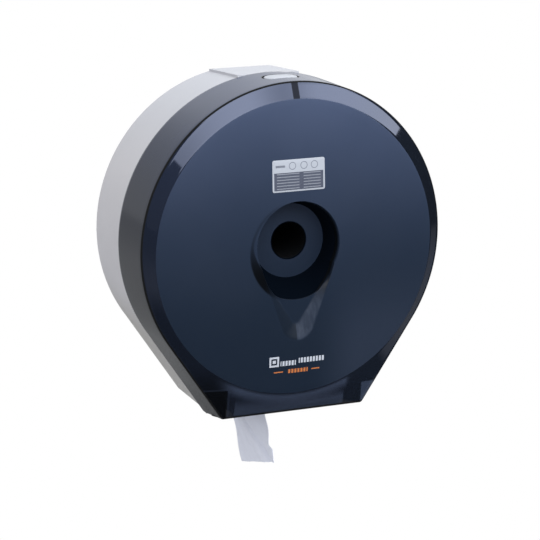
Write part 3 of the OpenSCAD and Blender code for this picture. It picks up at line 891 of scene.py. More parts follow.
@dataclass(frozen=True)
class SmokedBezel(SmokedPlastic):
    """The polished bezel, with painted shade where the upright rib stands behind it.

    Attributes:
        glow: Colour of the painted light that seems to show through its foot.
        gleam: Tint of its mirror reflections.
        rib_half: Where the rib's strip of painted shade ends on both sides.
        disc_r: Radii at which the painted pale band round the disc begins, is palest and
            ends.
        disc_z: Height of the disc's middle.
        band_x: Where that band begins at the left and ends at the right.
        low_z: Heights over which the foot's painted light and shade set in, downwards.
        clear_z: Heights over which the lowest part is painted pale.
        inner_x: Middle and half width of the part between the pockets.
        streak: Lean, offset and half width of the faint slanted painted highlight.
        pocket_x: Where the painted shade in the near pocket's mouth ends, towards the
            middle.
        pocket_z: Heights over which the pockets' tops end.
        shade_x: Where the near pocket's shade ends.
        web_x: Middle and half width of the painted light on the near pocket's web.
        brow_z: Middle and half height of the painted light on the edge over the near
            pocket.
        dim_x: Where the painted shade on the web before the far pocket begins.
        far_x: Where the painted light inside the far pocket begins.
        far_z: Heights over which that painted light ends, upwards.
        edge_z: Heights over which the bottom edge's black line ends.
    """

    glow: Colour = (0.034, 0.045, 0.074, 1.0)
    gleam: Colour = (0.69, 0.75, 1.0, 1.0)
    rib_half: Pair = (0.0027, 0.0033)
    disc_r: Triple = (0.1246, 0.1276, 0.1365)
    disc_z: float = -0.003
    band_x: Box = (-0.078, -0.048, 0.046, 0.053)
    low_z: Pair = (-0.118, -0.092)
    clear_z: Pair = (-0.138, -0.127)
    inner_x: Pair = (-0.004, 0.050)
    streak: Triple = (-0.06, 0.1395, 0.0032)
    pocket_x: Pair = (-0.0612, -0.0604)
    pocket_z: Pair = (-0.1198, -0.1190)
    shade_x: Pair = (-0.075, -0.055)
    web_x: Pair = (-0.0598, 0.0008)
    brow_z: Pair = (-0.1186, 0.0007)
    dim_x: Pair = (0.046, 0.050)
    far_x: Pair = (0.0622, 0.0634)
    far_z: Pair = (-0.1268, -0.1258)
    edge_z: Pair = (-0.1432, -0.1428)

    def rib(self, s: Sheet) -> Wire:
        """Mask of the rib's painted shade: a narrow strip at the top."""
        x, _, z = s.at()
        return abs(x).ramp(*self.rib_half, FALL) * (z > TOP_Z)

    def foot(self, s: Sheet, base: Any) -> Wire:
        """Lays the painted light and shade of what shows through the foot over a colour.

        A painted pale band follows the disc's edge and a faint painted highlight
        crosses the foot; painted shade makes the near pocket black, painted light
        makes the far one pale behind a web of painted shade, and the bottom edge
        is a black line.

        Args:
            s: The sheet to lay nodes on.
            base: The colour under it.

        Returns:
            The colour.
        """
        x, _, z = s.at()
        away = s.hypot(x, z - self.disc_z)
        start, crest, end = self.disc_r
        lean, offset, half = self.streak
        # The foot, the part below the pockets' tops, and the part between them
        low = z.ramp(*self.low_z, FALL)
        under = z.ramp(*self.pocket_z, FALL)
        inner = x.near(*self.inner_x)
        # Painted light: the lowest part, the disc's band, and a slanted highlight streak
        clear = z.ramp(*self.clear_z, (0.5, 0.0)) * inner
        wide = x.ramp(*self.band_x[:2]) * x.ramp(*self.band_x[2:], FALL)
        band = away.ramp(crest, end, FALL) * away.ramp(start, crest, (0.1, 1.0)) * low
        slant = abs(z + x * lean + offset)
        streak = slant.ramp(0.0, half, FALL) * x.ramp(-0.05, 0.02)
        # The near pocket: painted shade in its mouth and round it, and painted light on the
        # web and brow
        mouth = x.ramp(*self.pocket_x, FALL) * under
        shade = x.ramp(*self.shade_x, FALL) * low
        web = x.near(*self.web_x) * under
        brow = z.near(*self.brow_z) * x.ramp(-0.06, -0.059, FALL)
        # The far pocket: painted light inside it, behind a web of painted shade
        dim = x.ramp(*self.dim_x) * low
        far = x.ramp(*self.far_x) * z.ramp(*self.far_z, FALL)
        return s.layers(
            base,
            (clear, self.glow),
            (band * wide * 0.8, self.glow),
            (streak * inner * 0.35, self.glow),
            (mouth | shade * 0.75, srgb(2, 3, 4)),
            ((web | brow) * 0.13, self.glow),
            (dim * 0.6, srgb(15, 21, 30)),
            (far * 0.8, self.glow),
            (z.ramp(*self.edge_z, FALL), srgb(2, 2, 3)),
        )

    def tint(self, s: Sheet) -> Wire:
        """Paints shade on the rib's strip and the upper far side, and paints the foot's
        light and shade.

        Args:
            s: The sheet to lay nodes on.

        Returns:
            The base colour.
        """
        x, _, z = s.at()
        # Painted shade on the upper far side
        far = x.ramp(0.05, 0.10) * z.ramp(-0.03, 0.0, (0.0, 0.8))
        base = s.mix(far, super().tint(s), srgb(17, 20, 25))
        return s.mix(self.rib(s), self.foot(s, base), srgb(5, 6, 9))

    def extras(self, s: Sheet) -> dict[str, Any]:
        """Turns mirror reflections bluish."""
        return {**super().extras(s), "Specular Tint": self.gleam}

    def polish(self, s: Sheet) -> Wire:
        """Dulls the rib's strip."""
        return super().polish(s) + self.rib(s) * DULL


@dataclass(frozen=True)
class SmokedFace(SmokedPlastic):
    """The satin face: painted shade in the well and of the cup behind it, painted light and
    shade on the channel, plain print.

    The mesh's map holds two masks: the channel's walls, negative on the left,
    and the well's wall.

    Attributes:
        well: Colour of the painted shade on the well's steep wall.
        facet: Colour of the painted light on the channel's wall that faces the light.
        frame: White bars that make a frame with a dot: middle and half sizes.
        words: White bars that are cut into blocks.
        dashes: Orange bars beside the lower word.
        low_word: Orange bar that is cut into blocks.
        print_y: The print lies only in front of this, on the outer side.
        pitch: Blocks to the metre.
        dish_z: Height of the dish's middle.
        cup_r: Radius of the cup behind the face.
        far_x: Where the far side's slightly paler painted light begins.
        far_z: Heights over which that painted light ends, upwards.
        tip_z: Heights over which the painted light on the channel's wall fades.
    """

    well: Colour = (0.001, 0.0015, 0.002, 1.0)
    facet: Colour = (0.032, 0.042, 0.066, 1.0)
    frame: tuple[Box, ...] = (
        (-0.0240, -0.0985, 0.0008, 0.0044),
        (-0.0170, -0.0985, 0.0008, 0.0044),
        (-0.0205, -0.0949, 0.0043, 0.0008),
        (-0.0205, -0.1021, 0.0043, 0.0008),
        (-0.0205, -0.0985, 0.0014, 0.0014),
    )
    words: tuple[Box, ...] = (
        (-0.0078, -0.1006, 0.0070, 0.0021),
        (0.0138, -0.0992, 0.0120, 0.0022),
    )
    dashes: tuple[Box, ...] = (
        (-0.0164, -0.1078, 0.0041, 0.0005),
        (0.0174, -0.1078, 0.0037, 0.0005),
    )
    low_word: tuple[Box, ...] = ((0.0010, -0.1078, 0.0094, 0.0017),)
    print_y: float = -0.1200
    pitch: float = 360.0
    dish_z: float = -0.005
    cup_r: float = 0.0425
    far_x: Pair = (0.01, 0.06)
    far_z: Pair = (-0.09, 0.0)
    tip_z: Pair = (-0.058, -0.033)

    def print_mask(self, s: Sheet, whole: tuple[Box, ...], cut: tuple[Box, ...]) -> Wire:
        """Mask of a set of bars on the outer side, each a box in x and z.

        Args:
            s: The sheet to lay nodes on.
            whole: Middle x, middle z, half width and half height of each bar.
            cut: The same for bars that are cut into blocks.

        Returns:
            1 inside any bar, 0 outside.
        """
        x, y, z = s.at()
        block = (x * self.pitch).fraction() > 0.33
        masks = [x.near(a, w) * z.near(b, h) for a, b, w, h in whole]
        masks += [x.near(a, w) * z.near(b, h) * block for a, b, w, h in cut]
        total = masks[0]
        for mask in masks[1:]:
            total = total | mask
        return total * (y < self.print_y)

    def cup_shade(self, s: Sheet) -> Wire:
        """Mask of the soft shade that the cup behind casts on one side.

        Args:
            s: The sheet to lay nodes on.

        Returns:
            The mask.
        """
        x, _, z = s.at()
        # Half the width of the shade, which lies just inside the cup's radius
        half = z.ramp(-0.034, 0.006, (0.0052, 0.0002))
        gap = abs(s.hypot(x, z - self.dish_z) - (self.cup_r - half))
        line = (gap - half).ramp(0.0, 0.0018, FALL)
        side = x.ramp(-0.031, -0.009, FALL)
        return line * side * z.ramp(-0.024, 0.014, (1.0, 0.35))

    def tint(self, s: Sheet) -> Wire:
        """Lays the cup's painted shade, the channel's painted light and shade, the well's
        painted shade and the print over the smoke.

        Args:
            s: The sheet to lay nodes on.

        Returns:
            The base colour.
        """
        x, _, z = s.at()
        u, wall = s.uv()
        # Painted light on the far side's lower part, and the channel above its tip
        far = x.ramp(*self.far_x) * z.ramp(*self.far_z, (0.95, 0.0))
        upper = z.ramp(*self.tip_z)
        # Painted shade on the channel's left wall and its right wall's upper part; painted
        # light in streaks on the right wall below
        streaks = s.noise(s.stretch(s.spot(), (420, 60, 110)), 1.0, 3.0)
        left, right = u * -0.4 | 0.0, u | 0.0
        sheen = streaks.ramp(0.3, 0.7, (0.45, 1.0)) * (1.0 - upper)
        return s.layers(
            super().tint(s),
            (far, srgb(36, 45, 61)),
            (self.cup_shade(s) * 0.98, srgb(2, 4, 8)),
            (left + right * upper * 0.7, srgb(8, 14, 22)),
            (right * sheen, self.facet),
            (wall, self.well),
            (self.print_mask(s, self.frame, self.words), srgb(176, 180, 190)),
            (self.print_mask(s, self.dashes, self.low_word), srgb(178, 104, 56)),
        )


@dataclass(frozen=True)
class Tissue(Finish):
    """Soft two-ply tissue with fine crepe across its web."""

    def relief(self, s: Sheet) -> Wire:
        """The crepe's height."""
        return s.effect("crepe", Scale=1.0)

    def extras(self, s: Sheet) -> dict[str, Any]:
        """Lets a little light through, as thin paper does.

        Args:
            s: The sheet; not used.

        Returns:
            The shader's subsurface inputs.
        """
        return {
            "Subsurface Weight": 0.12,
            "Subsurface Radius": (0.004, 0.004, 0.004),
            "Subsurface Scale": 1.0,
        }


@dataclass(frozen=True)
class WoundBoard(Finish):
    """Spiral-wound core board: seams that climb round the tube."""

    def tint(self, s: Sheet) -> Wire:
        """Darker lines along the spiral seam, over mottled board.

        Args:
            s: The sheet to lay nodes on.

        Returns:
            The base colour.
        """
        u, v = s.uv()
        seam = abs((u + v * 1.6).fraction() - 0.5)
        speck = s.noise(s.spot(), 700.0, 4.0)
        dark = dimmed(self.colour, 0.55)
        return s.layers(
            self.colour, (speck.ramp(0.35, 0.75), dark), (seam.ramp(0.47, 0.5), dark)
        )


@dataclass(frozen=True)
class BrushedSteel(Finish):
    """Steel with fine lines along its length."""

    def relief(self, s: Sheet) -> Wire:
        """Long fine lines: noise stretched along Y."""
        return s.noise(s.stretch(s.spot(), (2400, 60, 2400)), 1.0, 2.0)


@dataclass(frozen=True)
class LabelFilm(Finish):
    """Silvered film: a light band over a darker field with plain rules.

    Attributes:
        dark: Colour of the field and of the marks.
        light: Colour of the band and of the rules.
        size: Width and height of the label in millimetres.
        rows: Number of rules that the label's height would hold.
        ring: Radius and half width of a ring's line, in millimetres.
    """

    dark: Colour = (0.1, 0.1, 0.12, 1.0)
    light: Colour = (0.7, 0.7, 0.75, 1.0)
    size: Pair = LABEL_SIZE
    rows: float = 11.0
    ring: Pair = (2.9, 0.3)

    def tint(self, s: Sheet) -> Wire:
        """Lays the fields and rules out on the label's own map.

        Args:
            s: The sheet to lay nodes on.

        Returns:
            The base colour.
        """
        u, v = s.uv()
        plate = u.between(0.03, 0.97) * v.between(0.05, 0.6)
        rule = ((v * self.rows).fraction() < 0.28) * plate
        reach = u.between(0.08, 0.92) * (abs(u - 0.55) > 0.04)
        return s.layers(
            self.light,
            (plate, self.dark),
            (rule * reach * 0.55, self.light),
            (self.marks(s) * 0.7, self.dark),
        )

    def marks(self, s: Sheet) -> Wire:
        """Mask of the light band's plain marks: a dash and three rings.

        Args:
            s: The sheet to lay nodes on.

        Returns:
            The mask.
        """
        u, v = s.uv()
        total = u.near(0.15, 0.09) * v.near(0.80, 0.035)
        for middle in (0.38, 0.60, 0.80):
            away = s.hypot((u - middle) * self.size[0], (v - 0.80) * self.size[1])
            total = total | away.near(*self.ring)
        return total


HOUSING = PalePlastic("housing_abs", srgb(200, 199, 203), (0.4, 0.52), 0.3, (1500.0, 0.012))
BUTTON = Finish("button_abs", srgb(179, 182, 190), (0.25, 0.35), 0.4, (1500.0, 0.004))
SPINDLE = Finish("spindle_black", srgb(24, 25, 28), (0.4, 0.5), 0.4, (1200.0, 0.012))
TISSUE = Tissue("tissue_paper", srgb(218, 221, 234), (0.9, 0.95), 0.15, (1.0, 0.14))
ROLL_SIDE = Tissue("tissue_roll_side", srgb(178, 180, 184), (0.9, 0.95), 0.15, (1.0, 0.2))
BOARD = WoundBoard("core_board", srgb(176, 150, 118), (0.8, 0.9), 0.2, (1200.0, 0.03))
STEEL = BrushedSteel(
    "tear_strip_steel", srgb(196, 198, 202), (0.22, 0.34), 0.5, (1.0, 0.004), 1.0
)
ZINC = Finish("zinc_plate", srgb(186, 188, 190), (0.28, 0.4), 0.5, (900.0, 0.004), 1.0)
SPRING = BrushedSteel(
    "spring_wire", srgb(168, 170, 174), (0.25, 0.35), 0.5, (1.0, 0.003), 1.0
)
SIDE = SmokedBand(
    "smoked_side", srgb(42, 44, 49), (0.14, 0.22), 0.5, (700.0, 0.002),
    top=srgb(60, 69, 93), foot_alpha=0.9, fade=4.0,
)
INNER = SmokedPlastic(
    "smoked_inner", srgb(12, 14, 18), (0.3, 0.4), 0.3, (700.0, 0.002),
    top=srgb(12, 14, 18),
)
BEZEL = SmokedBezel(
    "smoked_bezel", srgb(15, 20, 30), (0.02, 0.05), 1.0, (500.0, 0.0),
    top=srgb(26, 34, 52), foot_alpha=0.9,
)
FACE = SmokedFace(
    "smoked_face", srgb(21, 32, 47), (0.34, 0.4), 0.25, (1100.0, 0.005),
    top=srgb(63, 74, 99), fade=2.6,
)
# The well's steep wall and floor: the same smoke, painted near black as shade
WELL = SmokedPlastic(
    "smoked_well", srgb(5, 9, 16), (0.45, 0.5), 0.0, (1100.0, 0.005),
    top=srgb(5, 9, 16),
)
LABEL = LabelFilm(
    "label_film", srgb(170, 176, 190), (0.25, 0.35), 0.4, (900.0, 0.002),
    dark=srgb(77, 81, 95), light=srgb(165, 169, 178),
)


# --------------------------------------------------------------------------
# Placing pieces
# --------------------------------------------------------------------------


@dataclass
class Workshop:
    """Puts finished pieces on the frame and keeps count of them."""

    frame: dict[str, Any]
    placed: list[str] = field(default_factory=list)

    def place(
        self,
        obj: bpy.types.Object,
        finishes: Finish | list[Finish],
        body: Body,
        slot: Slot,
        stands_for: tuple[str, ...] = (),
    ) -> bpy.types.Object:
        """Dresses a piece, fixes it to its body and reports it.

        Args:
            obj: The new piece.
            finishes: Its finish, or one for each material index.
            body: The body it rides on.
            slot: The record's slot; not used.
            stands_for: CAD nodes that it replaces.

        Returns:
            The piece.
        """
        several = finishes if isinstance(finishes, list) else [finishes]
        for finish in several:
            obj.data.materials.append(finish.build())
        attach(obj, body.value)
        if stands_for:
            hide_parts(*stands_for)
        self.placed.append(obj.name)
        log.info("placed %s on %s", obj.name, body.value)
        return obj

    def merged(self, name: str, node: str, sharp: float = 28.0) -> bpy.types.Object:
        """Copies a CAD node with its points merged and its rounds smooth.

        Args:
            name: Name of the new piece.
            node: The CAD node to copy.
            sharp: Edges that turn by more degrees than this stay sharp.

        Returns:
            The new piece, not yet placed.
        """
        mesh = self.frame["nodes"][node].data.copy()
        mesh.name = name
        mesh.materials.clear()
        for extra in ("custom_normal", "sharp_face", "sharp_edge"):
            if extra in mesh.attributes:
                mesh.attributes.remove(mesh.attributes[extra])
        weld(mesh)
        shade(mesh, sharp)
        return stand(name, mesh)


# --------------------------------------------------------------------------
# The cover
# --------------------------------------------------------------------------


Slit = tuple[Pair, Pair]


class Part(IntEnum):
    """Material indices of the shell."""

    SIDE = 0
    BEZEL = 1
    FACE = 2
    WELL = 3


@dataclass
class Cover:
    """The smoked cover: side band, bezel, crowned face, hub and channel.

    The slots are given by the radius and drop of two circles. The last four
    fields count the cells of an outline's stretches.
    """

    drum_r: float = 135.0
    flare: float = 0.4
    joint_y: float = 61.9
    rim_y: float = 113.8
    foot_half_w: float = 64.5
    foot_drop: float = 145.0
    skirt_drop: float = 153.6
    hinge_y: float = 65.0
    hinge_drop: float = 149.0
    knuckle_r: float = 4.6
    knuckle_in: float = 54.43
    knuckle_gap: float = 3.2
    bore_r: float = 2.15
    web_depth: float = 18.0
    wall: float = 2.4
    corner_r: float = 2.6
    pocket_w: float = 13.2
    pocket_h: float = 20.0
    pocket_r: float = 5.0
    pocket_depth: float = 26.0
    rib_half: float = 3.0
    rib_y: Pair = (102.0, 112.2)
    face_r: float = 124.0
    face_drop: float = 3.0
    face_y: float = 119.0
    crown: float = 5.65
    dish_drop: float = 5.0
    mouth_r: float = 37.5
    crescent_r: float = 42.0
    crescent_step: float = 1.3
    well_floor_r: float = 31.8
    well_floor_y: float = 103.5
    sight_r: float = 15.25
    channel_depth: float = 5.0
    channel: Slit = ((33.5, 11.0), (15.5, 66.3))
    floor: Slit = ((30.8, 14.0), (3.0, 64.0))
    rim_round: float = 1.5
    lip: float = 0.35
    button_y: float = 86.0
    button_size: Pair = (30.2, 17.2)
    block_half: float = 12.5
    block_cells: int = 9
    half_bottom: int = 36
    corner: int = 6
    side: int = 30
    arc: int = 248

    @property
    def lean(self) -> float:
        """Angle by which the foot's sides lean in, in radians."""
        reach = math.hypot(self.foot_half_w, self.foot_drop)
        return math.atan2(self.foot_drop, self.foot_half_w) - math.acos(self.drum_r / reach)

    def outline(self, radius: float, drop: float, corner_r: float) -> Array:
        """Outline of the drum with its foot, counter-clockwise from below.

        An arc about the spindle's axis runs into straight sides at its
        tangents; a small arc rounds each corner to the flat bottom. Every
        call puts the same number of points on each stretch.

        Args:
            radius: Radius of the drum.
            drop: Distance from the axis down to the flat bottom.
            corner_r: Radius of the two rounded corners.

        Returns:
            Points (x, z), the first repeated at the end.
        """
        lean = self.lean
        normal = np.array([math.cos(lean), -math.sin(lean)])
        down = np.array([-math.sin(lean), -math.cos(lean)])
        apex = np.array([(radius - drop * math.sin(lean)) / math.cos(lean), -drop])
        setback = corner_r * math.tan((math.pi / 2 - lean) / 2)
        middle = apex - setback * down - corner_r * normal
        corner = middle + polar(corner_r, np.linspace(-math.pi / 2, -lean, self.corner + 1))
        bottom = blend(np.linspace(0, 1, self.half_bottom + 1), [0, -drop], corner[0])
        side = blend(np.linspace(0, 1, self.side + 1), corner[-1], radius * normal)
        arc = polar(radius, np.linspace(-lean, math.pi / 2, self.arc // 2 + 1))
        right = np.concatenate([bottom[:-1], corner[:-1], side[:-1], arc])
        return np.concatenate([right, (right[::-1] * [-1, 1])[1:]])

    def face_at(self, flat: Array) -> Array:
        """Distance from the wall of the crowned face, a paraboloid, at (x, z)."""
        r2 = flat[..., 0] ** 2 + (flat[..., 1] + self.face_drop) ** 2
        return self.face_y + self.crown * (1 - r2 / self.face_r**2)

    def from_dish(self, at: Array, phi: Array) -> Array:
        """Points (x, z) at distances and directions from the dish's centre."""
        return polar(at, phi) - [0, self.dish_drop]

    def reach(self, circles: Slit, phi: Array) -> Array:
        """Distance from the dish's centre to a tapered slot's edge.

        It is the largest distance on a ray at which a point still lies
        inside the slot, found by halving the interval.

        Args:
            circles: Radius and drop of the upper and the lower circle.
            phi: Directions of the rays, in radians.

        Returns:
            One distance for each ray.
        """
        low, high = np.zeros_like(phi), np.full_like(phi, 140.0)
        for _ in range(40):
            mid = (low + high) / 2
            inside = self.slot_gap(circles, self.from_dish(mid, phi)) < 0
            low, high = np.where(inside, mid, low), np.where(inside, high, mid)
        return low

    def circle_reach(self, radius: float, drop: float, phi: Array) -> Array:
        """Distance from the dish's centre to a circle on the centre line."""
        rise = self.dish_drop - drop
        return rise * np.sin(phi) + np.sqrt(radius**2 - (rise * np.cos(phi)) ** 2)

    def band_at(self, ys: Array) -> tuple[Array, Array]:
        """Share of the way from the joint to the rim, and the band's radius."""
        share = (ys - self.joint_y) / (self.rim_y - self.joint_y)
        return share, self.drum_r + self.flare * (1 - share)

    def side_rows(self) -> tuple[Array, Array]:
        """Side band and rounded rim, as rows from the joint to the bezel.

        Returns:
            The rows' points, and the distances of the straight rows only.
        """
        near, far = self.button_y - self.block_half, self.button_y + self.block_half
        ys = np.concatenate(
            [
                [self.joint_y, self.joint_y + self.lip],
                np.linspace(self.joint_y + 0.9, near, 4),
                np.linspace(near, far, 13)[1:],
                np.linspace(far, self.rim_y - self.rim_round, 4)[1:],
            ]
        )
        share, radius = self.band_at(ys)
        radius[0] -= self.lip
        drop = self.skirt_drop + (self.foot_drop - self.skirt_drop) * share
        behind = np.clip(self.hinge_y - ys, 0, self.knuckle_r)
        knuckle = self.hinge_drop + np.sqrt(self.knuckle_r**2 - behind**2)
        drop = np.where(behind > 0, np.minimum(drop, knuckle), drop)
        turn = np.radians([15, 35, 55, 75])
        inset = self.rim_round * (1 - np.cos(turn))
        radii = np.concatenate([radius, self.drum_r - inset])
        drops = np.concatenate([drop, self.foot_drop - inset])
        every = np.concatenate([ys, self.rim_y - self.rim_round * (1 - np.sin(turn))])
        rows = [
            upright(self.outline(r, d, self.corner_r), y)
            for r, d, y in zip(radii, drops, every)
        ]
        return np.stack(rows), ys

    def slot_gap(self, circles: Slit, flat: Array) -> Array:
        """Signed distance to a tapered slot's edge, negative inside it.

        The slot is the hull of two circles on the centre line.

        Args:
            circles: Radius and drop of the upper and the lower circle.
            flat: Points (x, z).

        Returns:
            The distance at each point.
        """
        (r1, d1), (r2, d2) = circles
        tilt = math.asin((r1 - r2) / (d2 - d1))
        x, down = np.abs(flat[..., 0]), -flat[..., 1]
        across = x * math.cos(tilt) + (down - d1) * math.sin(tilt) - r1
        along = (down - d1) * math.cos(tilt) - x * math.sin(tilt)
        upper = np.hypot(x, down - d1) - r1
        lower = np.hypot(x, down - d2) - r2
        past = along > (d2 - d1) * math.cos(tilt)
        return np.where(along < 0, upper, np.where(past, lower, across))

    def recess(self, at: Array, phi: Array) -> tuple[Array, Array]:
        """Depths of the channel and of the well below the face.

        The channel's wall falls in proportion to the distances from its brim
        and from its floor's edge. The well has a steep lip, then a nearly
        straight wall down to its floor.

        Args:
            at: Distances from the dish's centre.
            phi: Directions, in radians.

        Returns:
            The depths of the channel and of the well.
        """
        flat = self.from_dish(at, phi)
        brim = np.clip(-self.slot_gap(self.channel, flat), 0, None)
        floor = np.clip(self.slot_gap(self.floor, flat), 0, None)
        channel = self.channel_depth * brim / (brim + floor + 1e-9)
        ring, width = self.ring(phi)
        edge = self.circle_reach(self.well_floor_r, 0.0, phi)
        full = self.face_y + self.crown - self.well_floor_y - 0.4
        lip = self.channel_depth + self.crescent_step
        t = np.clip((ring - at) / (ring - edge), 0, 1)
        wall = lip + (full - lip) * (0.75 * t + 0.25 * t**2)
        outer = lip * np.clip(1 - (at - ring) / width, 0, 1)
        return channel, np.where(at < ring, wall, outer)

    def ring(self, phi: Array) -> tuple[Array, Array]:
        """Where the well's wall begins, and the width of its steep lip.

        Round the top it keeps just inside the mouth. Below, it follows the
        crescent's circle, but never goes past the channel's floor.

        Args:
            phi: Directions from the dish's centre, in radians.

        Returns:
            The distances and the widths.
        """
        mouth = self.circle_reach(self.mouth_r, 0.0, phi)
        slot, floor = self.reach(self.channel, phi), self.reach(self.floor, phi)
        width = 1.3 - 0.5 * ease(0.0, 2.0, slot - mouth)
        near = np.maximum(floor + 0.8, mouth - 1.4)
        gap = self.crescent_r - near
        return (self.crescent_r + near - np.sqrt(gap**2 + 2.0)) / 2 + 0.1, width

    def sunk_rows(self, at: Array, phi: Array) -> tuple[Array, Array, Array]:
        """Rows that are sunk below the face by the recess's soft depth.

        Where the channel and the well meet, and at the brim, the depth is
        rounded by the root of a square plus a small constant.

        Args:
            at: Distances from the dish's centre, a row for each.
            phi: Directions, in radians.

        Returns:
            Distances from the wall, and the marks of the channel's walls and
            of the well's wall.
        """
        channel, well = self.recess(at, phi)
        soft = 0.5 * (channel + well + np.sqrt((channel - well) ** 2 + 0.08) - 0.28)
        depth = np.sqrt(np.clip(soft, 0, None) ** 2 + 0.09) - 0.3
        flat = self.from_dish(at, phi)
        y = np.maximum(self.face_at(flat) - depth, self.well_floor_y)
        share = channel / self.channel_depth
        sloping = ease(0.02, 0.12, share) * (1 - ease(0.86, 0.97, share))
        deep = ease(1.0, 3.6, well) * ease(-0.4, 0.6, well - channel)
        return y, sloping * np.sign(flat[..., 0]) * (1 - deep), deep

    def front_rows(self) -> tuple[Array, Array, Array]:
        """Bezel, face, channel and well, as rows towards the hub.

        All rows share the directions in which the rim's points lie from the
        dish's centre, so a row is a distance and a depth in each direction.

        Returns:
            The rows' points, the material index of each row of cells, and
            the map, which marks the channel's walls and the well's dark wall, where
            light and shade are painted.
        """
        inset = self.rim_round
        rim = self.outline(self.drum_r - inset, self.foot_drop - inset, self.corner_r)
        rim[:, 1] += self.dish_drop
        phi = np.unwrap(np.arctan2(rim[:, 1], rim[:, 0]))
        disc = self.circle_reach(self.face_r, self.face_drop, phi)
        mouth = self.circle_reach(self.mouth_r, 0.0, phi)
        brim = np.maximum(mouth, self.reach(self.channel, phi))
        edge = self.circle_reach(self.well_floor_r, 0.0, phi)
        hole = self.circle_reach(self.sight_r, 0.0, phi)
        ring, width = self.ring(phi)
        meet = np.minimum(ring + width, brim - 0.45 * (brim - ring))
        flat = np.maximum(self.reach(self.floor, phi), meet + 0.3 * (brim - meet))

        # Bezel: leans forward from the rim to the disc
        lean = np.linspace(0, 1, 8)
        bezel = blend(lean, np.hypot(rim[:, 0], rim[:, 1]), disc + 0.35)
        bezel_y = self.rim_y + (self.face_y - self.rim_y - 0.1) * lean
        # Face, brim, the channel's sloping wall and floor, and the well's wall;
        # the small millimetres between two stretches round the edge there
        wall_steps = 11
        sunk = np.concatenate(
            [
                blend(1 - (1 - np.linspace(0, 1, 16)) ** 1.4, disc - 0.35, brim + 0.6),
                [brim + 0.1],
                blend(steps(10), brim - 0.1, flat + 0.05),
                blend(steps(9), flat + 0.03, meet + 0.05),
                blend(steps(3), meet + 0.05, ring - 0.15),
                blend(steps(wall_steps), ring - 0.15, edge + 0.15),
            ]
        )
        y, lit, deep = self.sunk_rows(sunk, phi)
        # The well's floor and the sight hole's rounded edge
        floor = np.concatenate(
            [[edge - 0.4], blend(np.linspace(0, 1, 5), edge - 1.0, hole + 1.0)]
            + [[hole + 0.6], [hole]]
        )
        floor_y = self.well_floor_y - np.array([0.0] * 6 + [0.05, 0.4])

        at = np.concatenate([bezel, sunk, floor])
        level = [np.tile(rows[:, None], len(phi)) for rows in (bezel_y, floor_y)]
        xyz = upright(self.from_dish(at, phi), np.concatenate([level[0], y, level[1]]))
        face, end = len(bezel), len(bezel) + len(sunk)
        # The map marks where the face paints light and shade: the channel's walls, the
        # well's wall and the sight hole's edge
        marks = np.zeros(at.shape + (2,))
        marks[face:end] = np.stack([lit, deep], axis=-1)
        marks[-2:, :, 1] = 1.0
        index = np.full(len(at) - 1, Part.FACE)
        index[: face - 1] = Part.BEZEL
        index[end - 1 - wall_steps : end] = Part.WELL
        index[-2:] = Part.WELL
        return xyz, index, marks

    def button_patch(self, block: Array) -> Array:
        """Fills the block left out of the side band round the button's hole.

        Rows run from the block's edge to the oval hole, each point moving
        straight to the oval in its own direction; heights follow the drum.

        Args:
            block: The side band's points in the block, of shape (m, n, 3).

        Returns:
            The patch, of shape (rows, columns, 3).
        """
        edge = np.concatenate(
            [block[0, :-1], block[:-1, -1], block[-1, :0:-1], block[:0:-1, 0], block[0, :1]]
        )
        flat = edge[:, :2] + [0, self.button_y]
        size = np.array(self.button_size) / 2
        steer = flat / np.linalg.norm(flat / size, axis=1, keepdims=True)
        pull = np.clip(steer[:, :1], size[1] - size[0], size[0] - size[1]) * [1, 0]
        away = steer - pull
        oval = pull + size[1] * away / np.linalg.norm(away, axis=1, keepdims=True)
        rows = [edge]
        for w, sink in ((0.25, 0), (0.5, 0), (0.72, 0), (0.87, 0), (1, self.lip)):
            at = (1 - w) * flat + w * oval
            _, radius = self.band_at(self.button_y - at[:, 1])
            z = np.sqrt(radius**2 - at[:, 0] ** 2) - sink
            rows.append(np.stack([at[:, 0], at[:, 1] - self.button_y, z], axis=-1))
        return np.stack(rows)

    def build_shell(self) -> bpy.types.Object:
        """Builds the whole shell as one surface with a wall.

        Returns:
            The shell.
        """
        sides, ys = self.side_rows()
        front, index, marks = self.front_rows()
        columns = sides.shape[1] - 1
        keep = np.ones((len(sides) - 1, columns), bool)
        bottom = np.arange(columns)
        bottom = np.minimum(bottom, columns - 1 - bottom) < self.half_bottom
        keep[: len(ys) - 1, bottom] = False
        rows = np.nonzero(np.abs(ys - self.button_y) < self.block_half + 0.01)[0]
        first, last = columns // 2 - self.block_cells, columns // 2 + self.block_cells
        keep[rows[0] : rows[-1], first:last] = False
        patch = self.button_patch(sides[rows[0] : rows[-1] + 1, first : last + 1])
        # The map's v marks the hole's edge, where the band paints shade
        dark = np.zeros(patch.shape[:2] + (2,))
        dark[-2:, :, 1] = 1.0
        surface = Surface()
        surface.grid(sides, keep=keep, uv=np.zeros(sides.shape[:2] + (2,)))
        surface.grid(patch, uv=dark)
        marks = np.concatenate([marks[:1], marks])
        index = np.concatenate([[Part.BEZEL], index])
        surface.grid(np.concatenate([sides[-1:], front]), slot=index, uv=marks)
        shell = surface.build("cover_shell", sharp=50)
        solidify(shell, self.wall, even=False)
        return shell

